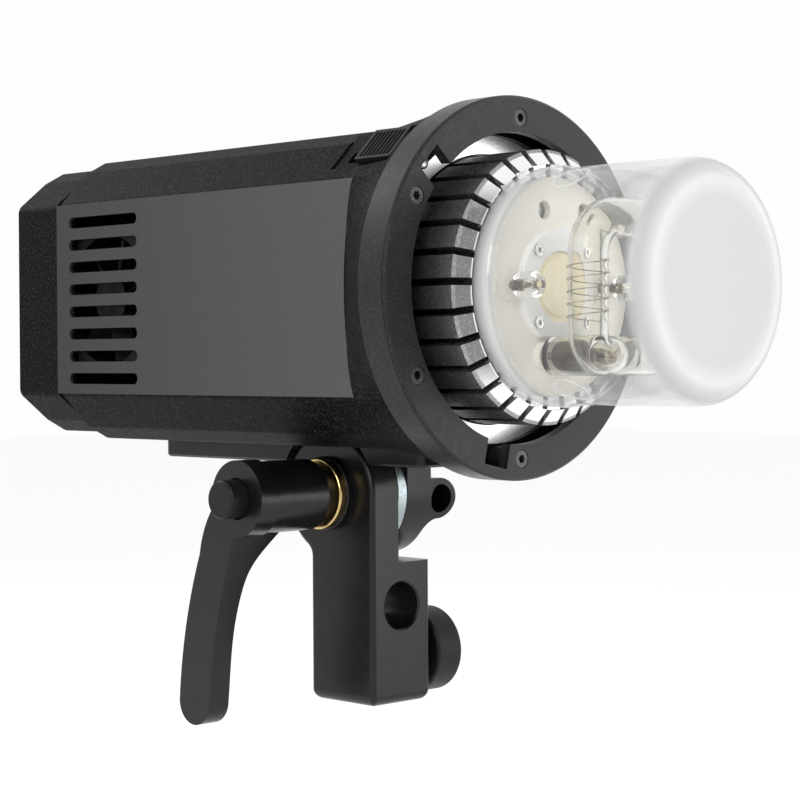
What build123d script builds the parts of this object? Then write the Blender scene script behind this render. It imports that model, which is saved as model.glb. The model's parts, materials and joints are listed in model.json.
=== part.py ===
"""Battery monolight strobe head on its tilting stand bracket.

Millimetres, +Z up. The lamp faces -Y. The origin is the mouth of the 5/8 inch stand
socket in the bracket's underside, on the socket's axis.
"""
import os
from math import cos, radians, sin, sqrt

from build123d import *

os.makedirs("parts", exist_ok=True)

# ---------------------------------------------------------------- driving dimensions
AXIS_Z = 141.6            # height of the lamp axis above the socket's mouth
RING_FRONT_Y = -71.6      # front face of the accessory ring
RING_DEPTH = 11.5
RING_R = 62.5
RING_OPENING_R = 50.7
RING_LIP = 4.0            # thickness of the front lip that accessories lock behind
RING_CAVITY_R = 59.4
BAYONET_SLOT_R = 58.7
BAYONET_SLOT_ANGLES = (17.0, 136.6, 257.6)
BAYONET_SLOT_DEG = 11.5
RING_SCREW_R = 55.4
RING_SCREW_ANGLES = (30.0, 90.0, 150.0, 210.0, 270.0, 330.0)

BODY_HALF_W = 50.0
BODY_HALF_H = 52.0
FLAT_HALF_H = 35.0        # half height of the flat side face
WALL = 2.5
FLARE_REAR_Y = -41.6
SEAM_Y = 115.2            # joint between main housing and rear cap
REAR_Y = 143.4            # rear face
CAP_HALF_H = 49.7
CAP_CHAMFER = 3.6
PANEL_T = 1.2             # grey side panel

FIN_R = 44.2
FIN_COUNT = 29
FIN_START_ANGLE = 4.8
FIN_SLOT_W = 2.4
FIN_CORE_R = 34.5
FIN_EDGE_Y = -82.7        # outer front edge of the fins
FIN_FRONT_Y = -86.3       # inner end of the fins' front cone
FIN_CONE_R = 39.2
FIN_REAR_Y = -50.0
BASE_Y = -86.6            # front face of the lamp base plate
BASE_T = 2.4
DOME_R = 37.6
DOME_WALL = 2.0
DOME_FRONT_Y = -150.6
DOME_BASE_R = 38.5
DOME_REAR_Y = -85.8
DOME_EDGE_R = 8.0
DOME_RIM = 6.0            # depth of the frosted rim at the dome's base

TUBE_R = 6.2              # glass tube of the flash lamp
TUBE_BORE_R = 5.0
TUBE_Y = -117.0           # plane of the lamp's square ring
TUBE_HALF = 20.5          # half width of that ring, on the tube's centre line
TUBE_BEND_R = 6.8         # bends next to the legs
TUBE_CORNER_R = 12.0      # upper corners of the ring
LEG_X = 6.8
LEG_Z = -22.0             # legs and ring bottom, from the lamp axis
LEG_REAR_Y = -91.5
POST_X = 24.0             # trigger posts left and right of the lamp
PIN_R = 1.2
SOCKET_BORE_R = 1.28

BRACKET_HALF_W = 13.9
BRACKET_HALF_D = 15.7
BLOCK_TOP_Z = 49.0        # top of the bracket's lower block
ARM_RIGHT_X = -1.5        # right face of the bracket's upper arm
SOCKET_R = 8.1            # for a 5/8 inch (15.9 mm) stud
STAND_SOCKET_DEPTH = 22.0
CROSS_SOCKET_Z = 33.9
PIVOT_Y = 6.3
PIVOT_Z = 72.6
EYE_R = 22.0
NECK_BEND_R = 5.0         # concave bend below the eye, at the rear
BRACKET_EDGE_R = 3.5
BOSS_R = 12.8             # cast boss under the brass collar
BOSS_T = 2.7
COLLAR_R = 12.4
COLLAR_T = 3.2
KNOB_Z = 15.2
KNOB_R = 15.0
SCREW_R = 4.0             # clamp screw and tilt screw shanks
SCREW_BORE_R = 4.05

PLATE_HALF_W = 15.0
PLATE_BOTTOM_Z = 82.8
PLATE_FRONT_Y = -41.4
PLATE_REAR_Y = 96.0
DISC_R = 22.4
DISC_X = 14.2             # outer face of the knuckle disc
SLOT_R = 23.4             # slot of the mount plate, about the pivot
UMBRELLA_X = 19.5
UMBRELLA_Z = 70.0
UMBRELLA_R = 5.0
LOBE_R = 7.2
BODY_BOTTOM_Z = AXIS_Z - BODY_HALF_H
POCKET_TOP_Z = 97.6       # underside pocket that the bracket's eye turns in

HUB_R = 12.2
HUB_INNER_X = -24.6
LEVER_NECK_R = 9.0        # from the hub to the brass collar
LEVER_EYE_R = 12.9        # round head of the lever, outside
LEVER_OUTER_X = -55.6
BLADE_T = 8.1
TIP_R = 7.9
TIP_Y = 29.3              # centre of the arm's round tip
TIP_DZ = -70.5            # heights of the arm are measured from the pivot
ARM_FRONT = ((14.6, -34.0), (5.5, -7.0))
ARM_REAR = ((17.5, -2.0), (22.6, -9.5), (25.8, -19.5), (32.6, -41.0))
ARM_INNER = ((-46.8, -33.0), (-45.0, -25.0), (-39.6, -17.0))
BUTTON_FACE_X = -62.9
BUTTON_R = 6.5
BUTTON_BORE_R = 7.0

BATTERY_X = 22.5
BATTERY_Y = (-6.0, 106.0)
BATTERY_HALF_H = 33.0
BAY_GAP = 0.5

FAN_Y = 88.0
FAN_Z = AXIS_Z - 0.6
FAN_SIZE = 50.0
FAN_X = (-46.6, -36.6)
VENT_COUNT = 8
VENT_PITCH = 8.17
VENT_H = 4.0
VENT_Y = (66.9, 107.5)

SLIDER_D = 59.5           # distance of the lock slider's track from the lamp axis
SLIDER_SHIFT = 3.5        # the slider sits this far up the bevel from its middle
SLIDER_W = 14.2
SLIDER_Y = (-57.6, -41.5)
SLIDER_RIBS = 8
TRACK_Y = (-58.2, -30.8)
PIN_RADIUS = 55.0         # the lock pin stands this far from the lamp axis
PIN_ANGLE = 135.0

DIAL_Z = 120.6
DIAL_R = 11.5
KEY_Z = 138.6
KEY_XS = (-27.0, -9.0, 9.0, 27.0)
KEY_W = 13.0
KEY_H = 6.5
ROUND_X = 31.0            # test and power buttons, left and right of the dial
WINDOW_W = 66.0
WINDOW_H = 31.0
WINDOW_Z = 164.1
SENSOR_Z = 184.2
PORT_Z = 102.6
JACK_X = -18.0
USB_X = 12.0
SLOT_CLEAR = 0.35         # gap round every piece that moves in a window
S45 = sqrt(0.5)


# ---------------------------------------------------------------- helpers
def front_plane(y, z=AXIS_Z, x=0.0):
    """A plane across the lamp axis, facing the front: local x is +X, local y is +Z."""
    return Plane(origin=(x, y, z), x_dir=(1, 0, 0), z_dir=(0, -1, 0))


def side_plane(x, y=0.0, z=0.0):
    """A plane across X: local x is +Y, local y is +Z, and it faces +X."""
    return Plane(origin=(x, y, z), x_dir=(0, 1, 0), z_dir=(1, 0, 0))


def bevel_plane(distance, y, shift=0.0):
    """A plane on the upper left bevel, facing out and moved up along it: local x is +Y."""
    return Plane(
        origin=((shift - distance) * S45, y, AXIS_Z + (shift + distance) * S45),
        x_dir=(0, 1, 0),
        z_dir=(-S45, 0, S45),
    )


def polar(radius, angle):
    """Local x and y of a point at an angle from +X, on a front plane."""
    return radius * cos(radians(angle)), radius * sin(radians(angle))


def body_outline(half_h, inset=0.0):
    """Cross-section of the body: flat sides, bevels and a flat top and bottom."""
    w = BODY_HALF_W - inset
    h = half_h - inset
    bevel_w, bevel_h = w - 12.5, h - 4.5
    top_w = w - 21.0
    quarter = [(w, FLAT_HALF_H - inset), (bevel_w, bevel_h), (top_w, h)]
    left = [(-x, z) for x, z in reversed(quarter)]
    under = [(-x, -z) for x, z in quarter]
    right = [(x, -z) for x, z in reversed(quarter)]
    with BuildSketch() as outline:
        with BuildLine():
            Polyline(*quarter, *left, *under, *right, close=True)
        make_face()
        fillet(outline.vertices(), 4.0)
    return outline.sketch


def flange_outline():
    """Outline of the side panel: a rectangle whose front edge bows back."""
    front_corner_y, front_mid_y = -45.0, -40.5
    with BuildSketch() as outline:
        with BuildLine():
            top = FLAT_HALF_H - 0.2
            ThreePointArc((front_corner_y, top), (front_mid_y, 0), (front_corner_y, -top))
            Polyline((front_corner_y, -top), (SEAM_Y, -top), (SEAM_Y, top), (front_corner_y, top))
        make_face()
    return outline.sketch


def vent_slots():
    """The eight rounded vent slots, as a sketch about the middle of the vents."""
    with BuildSketch() as slots:
        with GridLocations(1, VENT_PITCH, 1, VENT_COUNT):
            SlotOverall(VENT_Y[1] - VENT_Y[0], VENT_H)
    return slots.sketch


def save(piece, label):
    """Labels a finished piece and writes it as its own STEP file."""
    piece.label = label
    export_step(piece, f"parts/{label}.step")


def cylinder_y(radius, y_rear, y_front, x=0.0, z=AXIS_Z):
    """A free-standing solid cylinder along Y."""
    with BuildPart() as rod:
        with BuildSketch(front_plane(y_rear, z, x)):
            Circle(radius)
        extrude(amount=y_rear - y_front)
    return rod.part


def cylinder_x(radius, x_left, x_right, y, z):
    """A free-standing solid cylinder along X."""
    with BuildPart() as rod:
        with BuildSketch(side_plane(x_left, y, z)):
            Circle(radius)
        extrude(amount=x_right - x_left)
    return rod.part


def block(x_span, y_span, z_span):
    """A free-standing rectangular solid between two corners."""
    with BuildPart() as solid:
        with BuildSketch(Plane.XY.offset(z_span[0])):
            with Locations(((x_span[0] + x_span[1]) / 2, (y_span[0] + y_span[1]) / 2)):
                Rectangle(x_span[1] - x_span[0], y_span[1] - y_span[0])
        extrude(amount=z_span[1] - z_span[0])
    return solid.part


def screw_row(plane, places, head_r, head_t, shank_r, length, socket_r):
    """Socket-head screws standing on one plane: heads above it, shanks below."""
    with BuildPart() as screws:
        with BuildSketch(plane):
            with Locations(*places):
                Circle(head_r)
        extrude(amount=head_t)
        with BuildSketch(plane):
            with Locations(*places):
                Circle(shank_r)
        extrude(amount=-length)
        with BuildSketch(plane.offset(head_t)):
            with Locations(*places):
                RegularPolygon(socket_r, 6)
        extrude(amount=-head_t * 0.7, mode=Mode.SUBTRACT)
    return screws.part


# ---------------------------------------------------------------- stand bracket
# the eye's circle runs down its rear into a concave bend that meets the block's rear face
bend_y = BRACKET_HALF_D + NECK_BEND_R
bend_z = PIVOT_Z - sqrt((EYE_R + NECK_BEND_R) ** 2 - (bend_y - PIVOT_Y) ** 2)
eye_share = EYE_R / (EYE_R + NECK_BEND_R)
neck_start = (PIVOT_Y + eye_share * (bend_y - PIVOT_Y), PIVOT_Z + eye_share * (bend_z - PIVOT_Z))
neck_side = ((bend_y - PIVOT_Y) / (EYE_R + NECK_BEND_R), (PIVOT_Z - bend_z) / (EYE_R + NECK_BEND_R))
half_turn = sqrt((1 - neck_side[0]) / 2), sqrt((1 + neck_side[0]) / 2)
neck_middle = (bend_y - NECK_BEND_R * half_turn[1], bend_z + NECK_BEND_R * half_turn[0])
with BuildPart() as bracket:
    with BuildSketch(side_plane(-BRACKET_HALF_W)):
        with BuildLine():
            eye_front = (PIVOT_Y - EYE_R, PIVOT_Z)
            ThreePointArc(eye_front, (PIVOT_Y, PIVOT_Z + EYE_R), neck_start)
            ThreePointArc(neck_start, neck_middle, (BRACKET_HALF_D, bend_z))
            Polyline(
                (BRACKET_HALF_D, bend_z),
                (BRACKET_HALF_D, 0),
                (-BRACKET_HALF_D, 0),
                eye_front,
            )
        make_face()
    extrude(amount=2 * BRACKET_HALF_W)
    with BuildSketch(side_plane(ARM_RIGHT_X)):
        with Locations((PIVOT_Y, (BLOCK_TOP_Z + 2 * PIVOT_Z) / 2)):
            Rectangle(4 * EYE_R, 2 * PIVOT_Z - BLOCK_TOP_Z)
    extrude(amount=4 * BRACKET_HALF_W, mode=Mode.SUBTRACT)
    fillet(bracket.edges().filter_by(Axis.Z).filter_by(lambda e: e.center().Z < BLOCK_TOP_Z), 1.8)
    fillet(bracket.faces().sort_by(Axis.Z)[0].edges(), BRACKET_EDGE_R)
    # cast boss that the brass collar stands on
    with BuildSketch(side_plane(-BRACKET_HALF_W, PIVOT_Y, PIVOT_Z)):
        Circle(BOSS_R)
    extrude(amount=-BOSS_T)
    fillet(bracket.faces().sort_by(Axis.X)[0].edges(), 0.6)
    # tilt screw bore
    with BuildSketch(side_plane(-BRACKET_HALF_W - BOSS_T, PIVOT_Y, PIVOT_Z)):
        Circle(SCREW_BORE_R)
    extrude(amount=2 * BRACKET_HALF_W, mode=Mode.SUBTRACT)
    # vertical and cross sockets for a 5/8 inch stud
    with BuildSketch(Plane.XY):
        Circle(SOCKET_R)
    extrude(amount=STAND_SOCKET_DEPTH, mode=Mode.SUBTRACT)
    with BuildSketch(front_plane(BRACKET_HALF_D, CROSS_SOCKET_Z)):
        Circle(SOCKET_R)
    extrude(amount=2 * BRACKET_HALF_D, mode=Mode.SUBTRACT)
    mouths = bracket.edges().filter_by(GeomType.CIRCLE).filter_by(
        lambda e: abs(e.center().Z - CROSS_SOCKET_Z) < 0.1 and abs(e.radius - SOCKET_R) < 0.01
    )
    chamfer(mouths, 0.6)
    # hole of the clamp screw and its pad
    with BuildSketch(side_plane(0, 0, KNOB_Z)):
        Circle(SCREW_BORE_R)
    extrude(amount=BRACKET_HALF_W, mode=Mode.SUBTRACT)
save(bracket.part, "stand_bracket")

# brass thrust collar round the tilt screw, between the bracket and the lever's hub
COLLAR_X = -BRACKET_HALF_W - BOSS_T - COLLAR_T
with BuildPart() as collar:
    with BuildSketch(side_plane(COLLAR_X, PIVOT_Y, PIVOT_Z)):
        Circle(COLLAR_R)
        Circle(SCREW_BORE_R, mode=Mode.SUBTRACT)
    extrude(amount=COLLAR_T)
    chamfer(collar.faces().sort_by(Axis.X)[0].edges().sort_by(SortBy.RADIUS)[-1], 0.5)
save(collar.part, "brass_collar")

# ---------------------------------------------------------------- stand clamp
PAD_X = (8.25, 11.2)
KNOB_SCREW_L = 12.8
with BuildPart() as clamp_pad:
    with BuildSketch(side_plane(PAD_X[0], 0, KNOB_Z)):
        Circle(SCREW_R)
    extrude(amount=PAD_X[1] - PAD_X[0])
    chamfer(clamp_pad.edges().filter_by(GeomType.CIRCLE), 0.3)
save(clamp_pad.part, "clamp_pad")

with BuildPart() as knob_screw:
    with BuildSketch(side_plane(PAD_X[1], 0, KNOB_Z)):
        Circle(SCREW_R)
    extrude(amount=KNOB_SCREW_L)
    chamfer(knob_screw.edges().filter_by(GeomType.CIRCLE).sort_by(Axis.X)[0], 0.6)
save(knob_screw.part, "knob_screw")

KNOB_X = (19.0, 31.0)
KNOB_HUB_X = 16.0
with BuildPart() as knob:
    with BuildSketch(side_plane(KNOB_X[0], 0, KNOB_Z)):
        Circle(KNOB_R)
    extrude(amount=KNOB_X[1] - KNOB_X[0])
    fillet(knob.edges().filter_by(GeomType.CIRCLE), 1.2)
    with BuildSketch(side_plane(KNOB_HUB_X, 0, KNOB_Z)):
        Circle(6.0)
    extrude(amount=KNOB_X[0] - KNOB_HUB_X)
    with BuildSketch(side_plane(KNOB_HUB_X, 0, KNOB_Z)):
        Circle(SCREW_R)
    extrude(amount=PAD_X[1] + KNOB_SCREW_L - KNOB_HUB_X, mode=Mode.SUBTRACT)
    with BuildSketch(side_plane(KNOB_X[1], 0, KNOB_Z)):
        Circle(10.0)
    extrude(amount=-1.0, mode=Mode.SUBTRACT)
save(knob.part, "stand_knob")

# ---------------------------------------------------------------- tilt lever
with BuildPart() as lever_head:
    add(cylinder_x(LEVER_EYE_R, LEVER_OUTER_X, LEVER_OUTER_X + BLADE_T, PIVOT_Y, PIVOT_Z))
    add(cylinder_x(HUB_R, LEVER_OUTER_X + BLADE_T, HUB_INNER_X, PIVOT_Y, PIVOT_Z))
    add(cylinder_x(LEVER_NECK_R, HUB_INNER_X, COLLAR_X - 0.05, PIVOT_Y, PIVOT_Z))

with BuildPart() as lever:
    # side view: an arm that sweeps down and back from the round head
    with BuildSketch(side_plane(LEVER_OUTER_X, 0, PIVOT_Z)):
        with BuildLine():
            ThreePointArc((TIP_Y - TIP_R, TIP_DZ), *ARM_FRONT)
            Polyline(ARM_FRONT[-1], ARM_REAR[0])
            ThreePointArc(*ARM_REAR[:3])
            ThreePointArc(*ARM_REAR[2:], (TIP_Y + TIP_R, TIP_DZ))
            ThreePointArc((TIP_Y + TIP_R, TIP_DZ), (TIP_Y, TIP_DZ - TIP_R), (TIP_Y - TIP_R, TIP_DZ))
        make_face()
    extrude(amount=HUB_INNER_X - LEVER_OUTER_X)
    # front view: the arm is a thin blade that widens up into the hub
    with BuildSketch(front_plane(PIVOT_Y + 40.0, PIVOT_Z)):
        with BuildLine():
            blade_x = LEVER_OUTER_X + BLADE_T
            tip_low = TIP_DZ - TIP_R - 1.0
            Polyline(
                (blade_x, tip_low),
                (LEVER_OUTER_X, tip_low),
                (LEVER_OUTER_X, LEVER_EYE_R),
                (HUB_INNER_X, LEVER_EYE_R),
                (HUB_INNER_X, -HUB_R - 0.2),
                (-35.5, -HUB_R - 0.2),
            )
            Spline((-35.5, -HUB_R - 0.2), *reversed(ARM_INNER), (blade_x, -49.0), (blade_x, tip_low))
        make_face()
    extrude(amount=60.0, mode=Mode.INTERSECT)
    add(lever_head.part)
    # bore of the push button and its spring, then the screw's seat
    with BuildSketch(side_plane(LEVER_OUTER_X, PIVOT_Y, PIVOT_Z)):
        Circle(BUTTON_BORE_R)
    extrude(amount=16.0, mode=Mode.SUBTRACT)
    with BuildSketch(side_plane(LEVER_OUTER_X, PIVOT_Y, PIVOT_Z)):
        Circle(SCREW_R)
    extrude(amount=40.0, mode=Mode.SUBTRACT)
save(lever.part, "tilt_lever")

with BuildPart() as tilt_screw:
    with BuildSketch(side_plane(LEVER_OUTER_X + 18.0, PIVOT_Y, PIVOT_Z)):
        Circle(SCREW_R)
    extrude(amount=11.0 - (LEVER_OUTER_X + 18.0))
    chamfer(tilt_screw.edges().filter_by(GeomType.CIRCLE), 0.6)
save(tilt_screw.part, "tilt_screw")

BUTTON_HEAD_X = LEVER_OUTER_X + 7.0
with BuildPart() as lever_button:
    with BuildSketch(side_plane(BUTTON_FACE_X, PIVOT_Y, PIVOT_Z)):
        Circle(BUTTON_R)
    extrude(amount=BUTTON_HEAD_X - BUTTON_FACE_X)
    chamfer(lever_button.edges().filter_by(GeomType.CIRCLE).sort_by(Axis.X)[0], 0.7)
save(lever_button.part, "lever_button")

SPRING_X = (BUTTON_HEAD_X + 0.1, LEVER_OUTER_X + 15.9)
with BuildPart() as lever_spring:
    with BuildSketch(side_plane(SPRING_X[0], PIVOT_Y, PIVOT_Z)):
        Circle(5.6)
        Circle(4.6, mode=Mode.SUBTRACT)
    extrude(amount=SPRING_X[1] - SPRING_X[0])
    with BuildSketch(front_plane(PIVOT_Y + 20, PIVOT_Z)):
        with Locations(*[(SPRING_X[0] + 1.4 + 2.2 * turn, 0) for turn in range(4)]):
            Rectangle(1.0, 7.0)
    extrude(amount=40.0, mode=Mode.SUBTRACT)
save(lever_spring.part, "lever_spring")

# ---------------------------------------------------------------- mount plate and washer
WASHER_X = (ARM_RIGHT_X + 0.02, 2.6)
with BuildPart() as washer:
    with BuildSketch(side_plane(WASHER_X[0], PIVOT_Y, PIVOT_Z)):
        Circle(22.2)
        Circle(SCREW_BORE_R, mode=Mode.SUBTRACT)
    extrude(amount=WASHER_X[1] - WASHER_X[0])
save(washer.part, "friction_washer")

PLATE_SCREW_PLACES = ((-9.0, -34.0), (9.0, -34.0), (-9.0, 88.0), (9.0, 88.0))
# lobe of the umbrella socket with its webs, turned about the pivot like the disc
with BuildPart() as umbrella_lobe:
    with BuildSketch(front_plane(PIVOT_Y + DISC_R, UMBRELLA_Z, DISC_X)):
        with BuildLine():
            lobe_x = UMBRELLA_X - DISC_X
            web_low = (0, -LOBE_R - 5.0)
            Polyline((lobe_x, LOBE_R), (-2.0, LOBE_R), (-2.0, web_low[1]), web_low)
            ThreePointArc(web_low, (1.5, -LOBE_R - 1.5), (lobe_x, -LOBE_R))
            Polyline((lobe_x, -LOBE_R), (lobe_x, LOBE_R))
        make_face()
        with Locations((lobe_x, 0)):
            Circle(LOBE_R)
    extrude(amount=2 * DISC_R)
    add(cylinder_x(DISC_R, 0.0, 2 * UMBRELLA_X, PIVOT_Y, PIVOT_Z), mode=Mode.INTERSECT)

with BuildPart() as mount_plate:
    plate_mid_y = (PLATE_FRONT_Y + PLATE_REAR_Y) / 2
    with BuildSketch(Plane.XY.offset(PLATE_BOTTOM_Z)):
        with Locations((0, plate_mid_y)):
            Rectangle(2 * PLATE_HALF_W, PLATE_REAR_Y - PLATE_FRONT_Y)
    extrude(amount=BODY_BOTTOM_Z - PLATE_BOTTOM_Z)
    fillet(mount_plate.edges().filter_by(Axis.Z), 3.0)
    chamfer(mount_plate.faces().sort_by(Axis.Z)[0].edges(), 0.8)
    # slot that the bracket's eye and the washer turn in
    with BuildSketch(side_plane(-PLATE_HALF_W, PIVOT_Y, PIVOT_Z)):
        Circle(SLOT_R)
    extrude(amount=PLATE_HALF_W + WASHER_X[1], mode=Mode.SUBTRACT)
    # knuckle disc, joined up to the plate
    with BuildSketch(side_plane(WASHER_X[1], PIVOT_Y, PIVOT_Z)):
        Circle(DISC_R)
        with Locations((0, (BODY_BOTTOM_Z - PIVOT_Z) / 2)):
            Rectangle(2 * DISC_R, BODY_BOTTOM_Z - PIVOT_Z)
        with Locations((0, BODY_BOTTOM_Z - PIVOT_Z + DISC_R)):
            Rectangle(2 * DISC_R, 2 * DISC_R, mode=Mode.SUBTRACT)
    extrude(amount=DISC_X - WASHER_X[1])
    add(umbrella_lobe.part)
    with BuildSketch(front_plane(PIVOT_Y + DISC_R + 2, UMBRELLA_Z, UMBRELLA_X)):
        Circle(UMBRELLA_R)
    extrude(amount=2 * DISC_R + 4.0, mode=Mode.SUBTRACT)
    with BuildSketch(side_plane(0, PIVOT_Y, PIVOT_Z)):
        Circle(SCREW_BORE_R)
    extrude(amount=11.4, mode=Mode.SUBTRACT)
    with BuildSketch(Plane.XY.offset(PLATE_BOTTOM_Z)):
        with Locations(*PLATE_SCREW_PLACES):
            Circle(2.05)
    extrude(amount=20.0, mode=Mode.SUBTRACT)
    with BuildSketch(Plane.XY.offset(PLATE_BOTTOM_Z)):
        with Locations(*PLATE_SCREW_PLACES):
            Circle(3.8)
    extrude(amount=3.6, mode=Mode.SUBTRACT)
save(mount_plate.part, "mount_plate")

plate_screw_plane = Plane(origin=(0, 0, PLATE_BOTTOM_Z + 3.6), x_dir=(1, 0, 0), z_dir=(0, 0, -1))
plate_screws = screw_row(
    plate_screw_plane, [(x, -y) for x, y in PLATE_SCREW_PLACES], 3.5, 3.3, 2.0, 8.0, 1.7
)
save(plate_screws, "plate_screws")

# ---------------------------------------------------------------- main housing
RING_REAR_Y = RING_FRONT_Y + RING_DEPTH
BAY_X = BATTERY_X - BAY_GAP
BAY_Y = (BATTERY_Y[0] - BAY_GAP, BATTERY_Y[1] + BAY_GAP)
BAY_HALF_H = BATTERY_HALF_H + BAY_GAP
BAY_WALL = 2.0
BOSS_L = 4.4              # bosses that the ring screws bite into
POCKET_X = (-16.2, 16.2)
POCKET_Y = (PIVOT_Y - SLOT_R - 1.0, PIVOT_Y + SLOT_R + 1.0)
with BuildPart() as housing:
    with BuildSketch(front_plane(FLARE_REAR_Y)):
        add(body_outline(BODY_HALF_H))
    with BuildSketch(front_plane(RING_REAR_Y)):
        Circle(RING_R - 0.3)
    loft()
    with BuildSketch(front_plane(SEAM_Y)):
        add(body_outline(BODY_HALF_H))
    extrude(amount=SEAM_Y - FLARE_REAR_Y)
    rear_edges = housing.faces().sort_by(Axis.Y)[-1].edges()
    chamfer(rear_edges.filter_by(Axis.X), 2.4)
    # hollow
    with BuildSketch(front_plane(FLARE_REAR_Y)):
        add(body_outline(BODY_HALF_H, WALL))
    with BuildSketch(front_plane(RING_REAR_Y + WALL)):
        Circle(RING_R - 0.3 - WALL)
    loft(mode=Mode.SUBTRACT)
    with BuildSketch(front_plane(SEAM_Y)):
        add(body_outline(BODY_HALF_H, WALL))
    extrude(amount=SEAM_Y - FLARE_REAR_Y, mode=Mode.SUBTRACT)
    # round opening for the lamp's heat sink in the front wall
    with BuildSketch(front_plane(RING_REAR_Y + WALL)):
        Circle(RING_OPENING_R)
    extrude(amount=WALL, mode=Mode.SUBTRACT)
    # bosses of the ring screws
    with BuildSketch(front_plane(RING_REAR_Y + BOSS_L)):
        with Locations(*[polar(RING_SCREW_R, a) for a in RING_SCREW_ANGLES]):
            Circle(3.6)
    extrude(amount=BOSS_L)
    with BuildSketch(front_plane(RING_REAR_Y + BOSS_L)):
        with Locations(*[polar(RING_SCREW_R, a) for a in RING_SCREW_ANGLES]):
            Circle(1.55)
    extrude(amount=BOSS_L, mode=Mode.SUBTRACT)
    # walled pocket in the underside for the bracket's eye
    add(block((POCKET_X[0] - 2, POCKET_X[1] + 2), (POCKET_Y[0] - 2, POCKET_Y[1] + 2),
              (BODY_BOTTOM_Z + 1, POCKET_TOP_Z + 2)))
    add(block(POCKET_X, POCKET_Y, (BODY_BOTTOM_Z - 1, POCKET_TOP_Z)), mode=Mode.SUBTRACT)
    # walled battery bay in the right side
    add(block((BAY_X - BAY_WALL, BODY_HALF_W - 1), (BAY_Y[0] - BAY_WALL, BAY_Y[1] + BAY_WALL),
              (AXIS_Z - BAY_HALF_H - BAY_WALL + 0.5, AXIS_Z + BAY_HALF_H + BAY_WALL - 0.5)))
    add(block((BAY_X, BODY_HALF_W + 1), BAY_Y, (AXIS_Z - BAY_HALF_H, AXIS_Z + BAY_HALF_H)),
        mode=Mode.SUBTRACT)
    # seat of the side panel, and the vents behind it
    with BuildSketch(side_plane(-BODY_HALF_W + PANEL_T, 0, AXIS_Z)):
        add(flange_outline())
    extrude(amount=-12.0, mode=Mode.SUBTRACT)
    vent_middle = (sum(VENT_Y) / 2, FAN_Z)
    with BuildSketch(side_plane(-BODY_HALF_W - 1, *vent_middle)):
        add(vent_slots())
    extrude(amount=6.0, mode=Mode.SUBTRACT)
    # seat and window of the lock slider
    with BuildSketch(bevel_plane(SLIDER_D + 20, sum(TRACK_Y) / 2, SLIDER_SHIFT)):
        Rectangle(TRACK_Y[1] - TRACK_Y[0], SLIDER_W + 4.2)
    extrude(amount=-22.2, mode=Mode.SUBTRACT)
    with BuildSketch(bevel_plane(SLIDER_D, -45.0)):
        Rectangle(20.0, 7.0)
    extrude(amount=-8.0, mode=Mode.SUBTRACT)
    with BuildSketch(front_plane(RING_REAR_Y + WALL + 1)):
        with Locations(polar(PIN_RADIUS, PIN_ANGLE)):
            Circle(2.6)
    extrude(amount=WALL + 2, mode=Mode.SUBTRACT)
    # screw holes of the mount plate
    with BuildSketch(Plane.XY.offset(BODY_BOTTOM_Z - 1)):
        with Locations(*PLATE_SCREW_PLACES):
            Circle(2.05)
    extrude(amount=6.0, mode=Mode.SUBTRACT)
save(housing.part, "main_housing")

with BuildPart() as side_panel:
    with BuildSketch(side_plane(-BODY_HALF_W, 0, AXIS_Z)):
        add(flange_outline())
    extrude(amount=PANEL_T)
    with BuildSketch(side_plane(-BODY_HALF_W - 1, *vent_middle)):
        add(vent_slots())
    extrude(amount=3.0, mode=Mode.SUBTRACT)
save(side_panel.part, "side_panel")

# ---------------------------------------------------------------- rear cap
DIAL_BORE_R = 4.4
REAR_SCREW_PLACES = ((-40.0, 36.0), (40.0, 36.0), (-40.0, -34.0), (40.0, -34.0))
REAR_INNER_Y = REAR_Y - WALL
with BuildPart() as rear_cap:
    with BuildSketch(front_plane(REAR_Y)):
        add(body_outline(CAP_HALF_H))
    extrude(amount=REAR_Y - SEAM_Y)
    chamfer(rear_cap.faces().sort_by(Axis.Y)[-1].edges(), CAP_CHAMFER)
    with BuildSketch(front_plane(REAR_INNER_Y)):
        add(body_outline(CAP_HALF_H, WALL + 1.0))
    extrude(amount=REAR_INNER_Y - SEAM_Y, mode=Mode.SUBTRACT)
    # screw bosses in the corners
    with BuildSketch(front_plane(REAR_INNER_Y)):
        with Locations(*REAR_SCREW_PLACES):
            Circle(4.4)
    extrude(amount=REAR_INNER_Y - SEAM_Y)
    with BuildSketch(front_plane(REAR_Y)):
        with Locations(*REAR_SCREW_PLACES):
            Circle(1.6)
    extrude(amount=REAR_Y - SEAM_Y, mode=Mode.SUBTRACT)
    with BuildSketch(front_plane(REAR_Y)):
        with Locations(*REAR_SCREW_PLACES):
            Circle(3.1)
    extrude(amount=2.6, mode=Mode.SUBTRACT)
    # windows of the display, keys, dial, round buttons, ports and sensor
    with BuildSketch(front_plane(REAR_Y, 0)):
        with Locations((0, WINDOW_Z)):
            RectangleRounded(WINDOW_W, WINDOW_H, 3.0)
        with Locations(*[(x, KEY_Z) for x in KEY_XS]):
            RectangleRounded(KEY_W + 2 * SLOT_CLEAR, KEY_H + 2 * SLOT_CLEAR, 2.0)
        with Locations((0, DIAL_Z)):
            Circle(DIAL_BORE_R)
        with Locations((-ROUND_X, DIAL_Z)):
            Circle(5.0 + SLOT_CLEAR)
        with Locations((ROUND_X, DIAL_Z)):
            Circle(6.0 + SLOT_CLEAR)
        with Locations((JACK_X, PORT_Z)):
            Circle(3.0)
        with Locations((USB_X, PORT_Z)):
            Rectangle(9.4, 4.0)
        with Locations((0, SENSOR_Z)):
            Circle(2.0)
    extrude(amount=WALL, mode=Mode.SUBTRACT)
save(rear_cap.part, "rear_cap")

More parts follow.
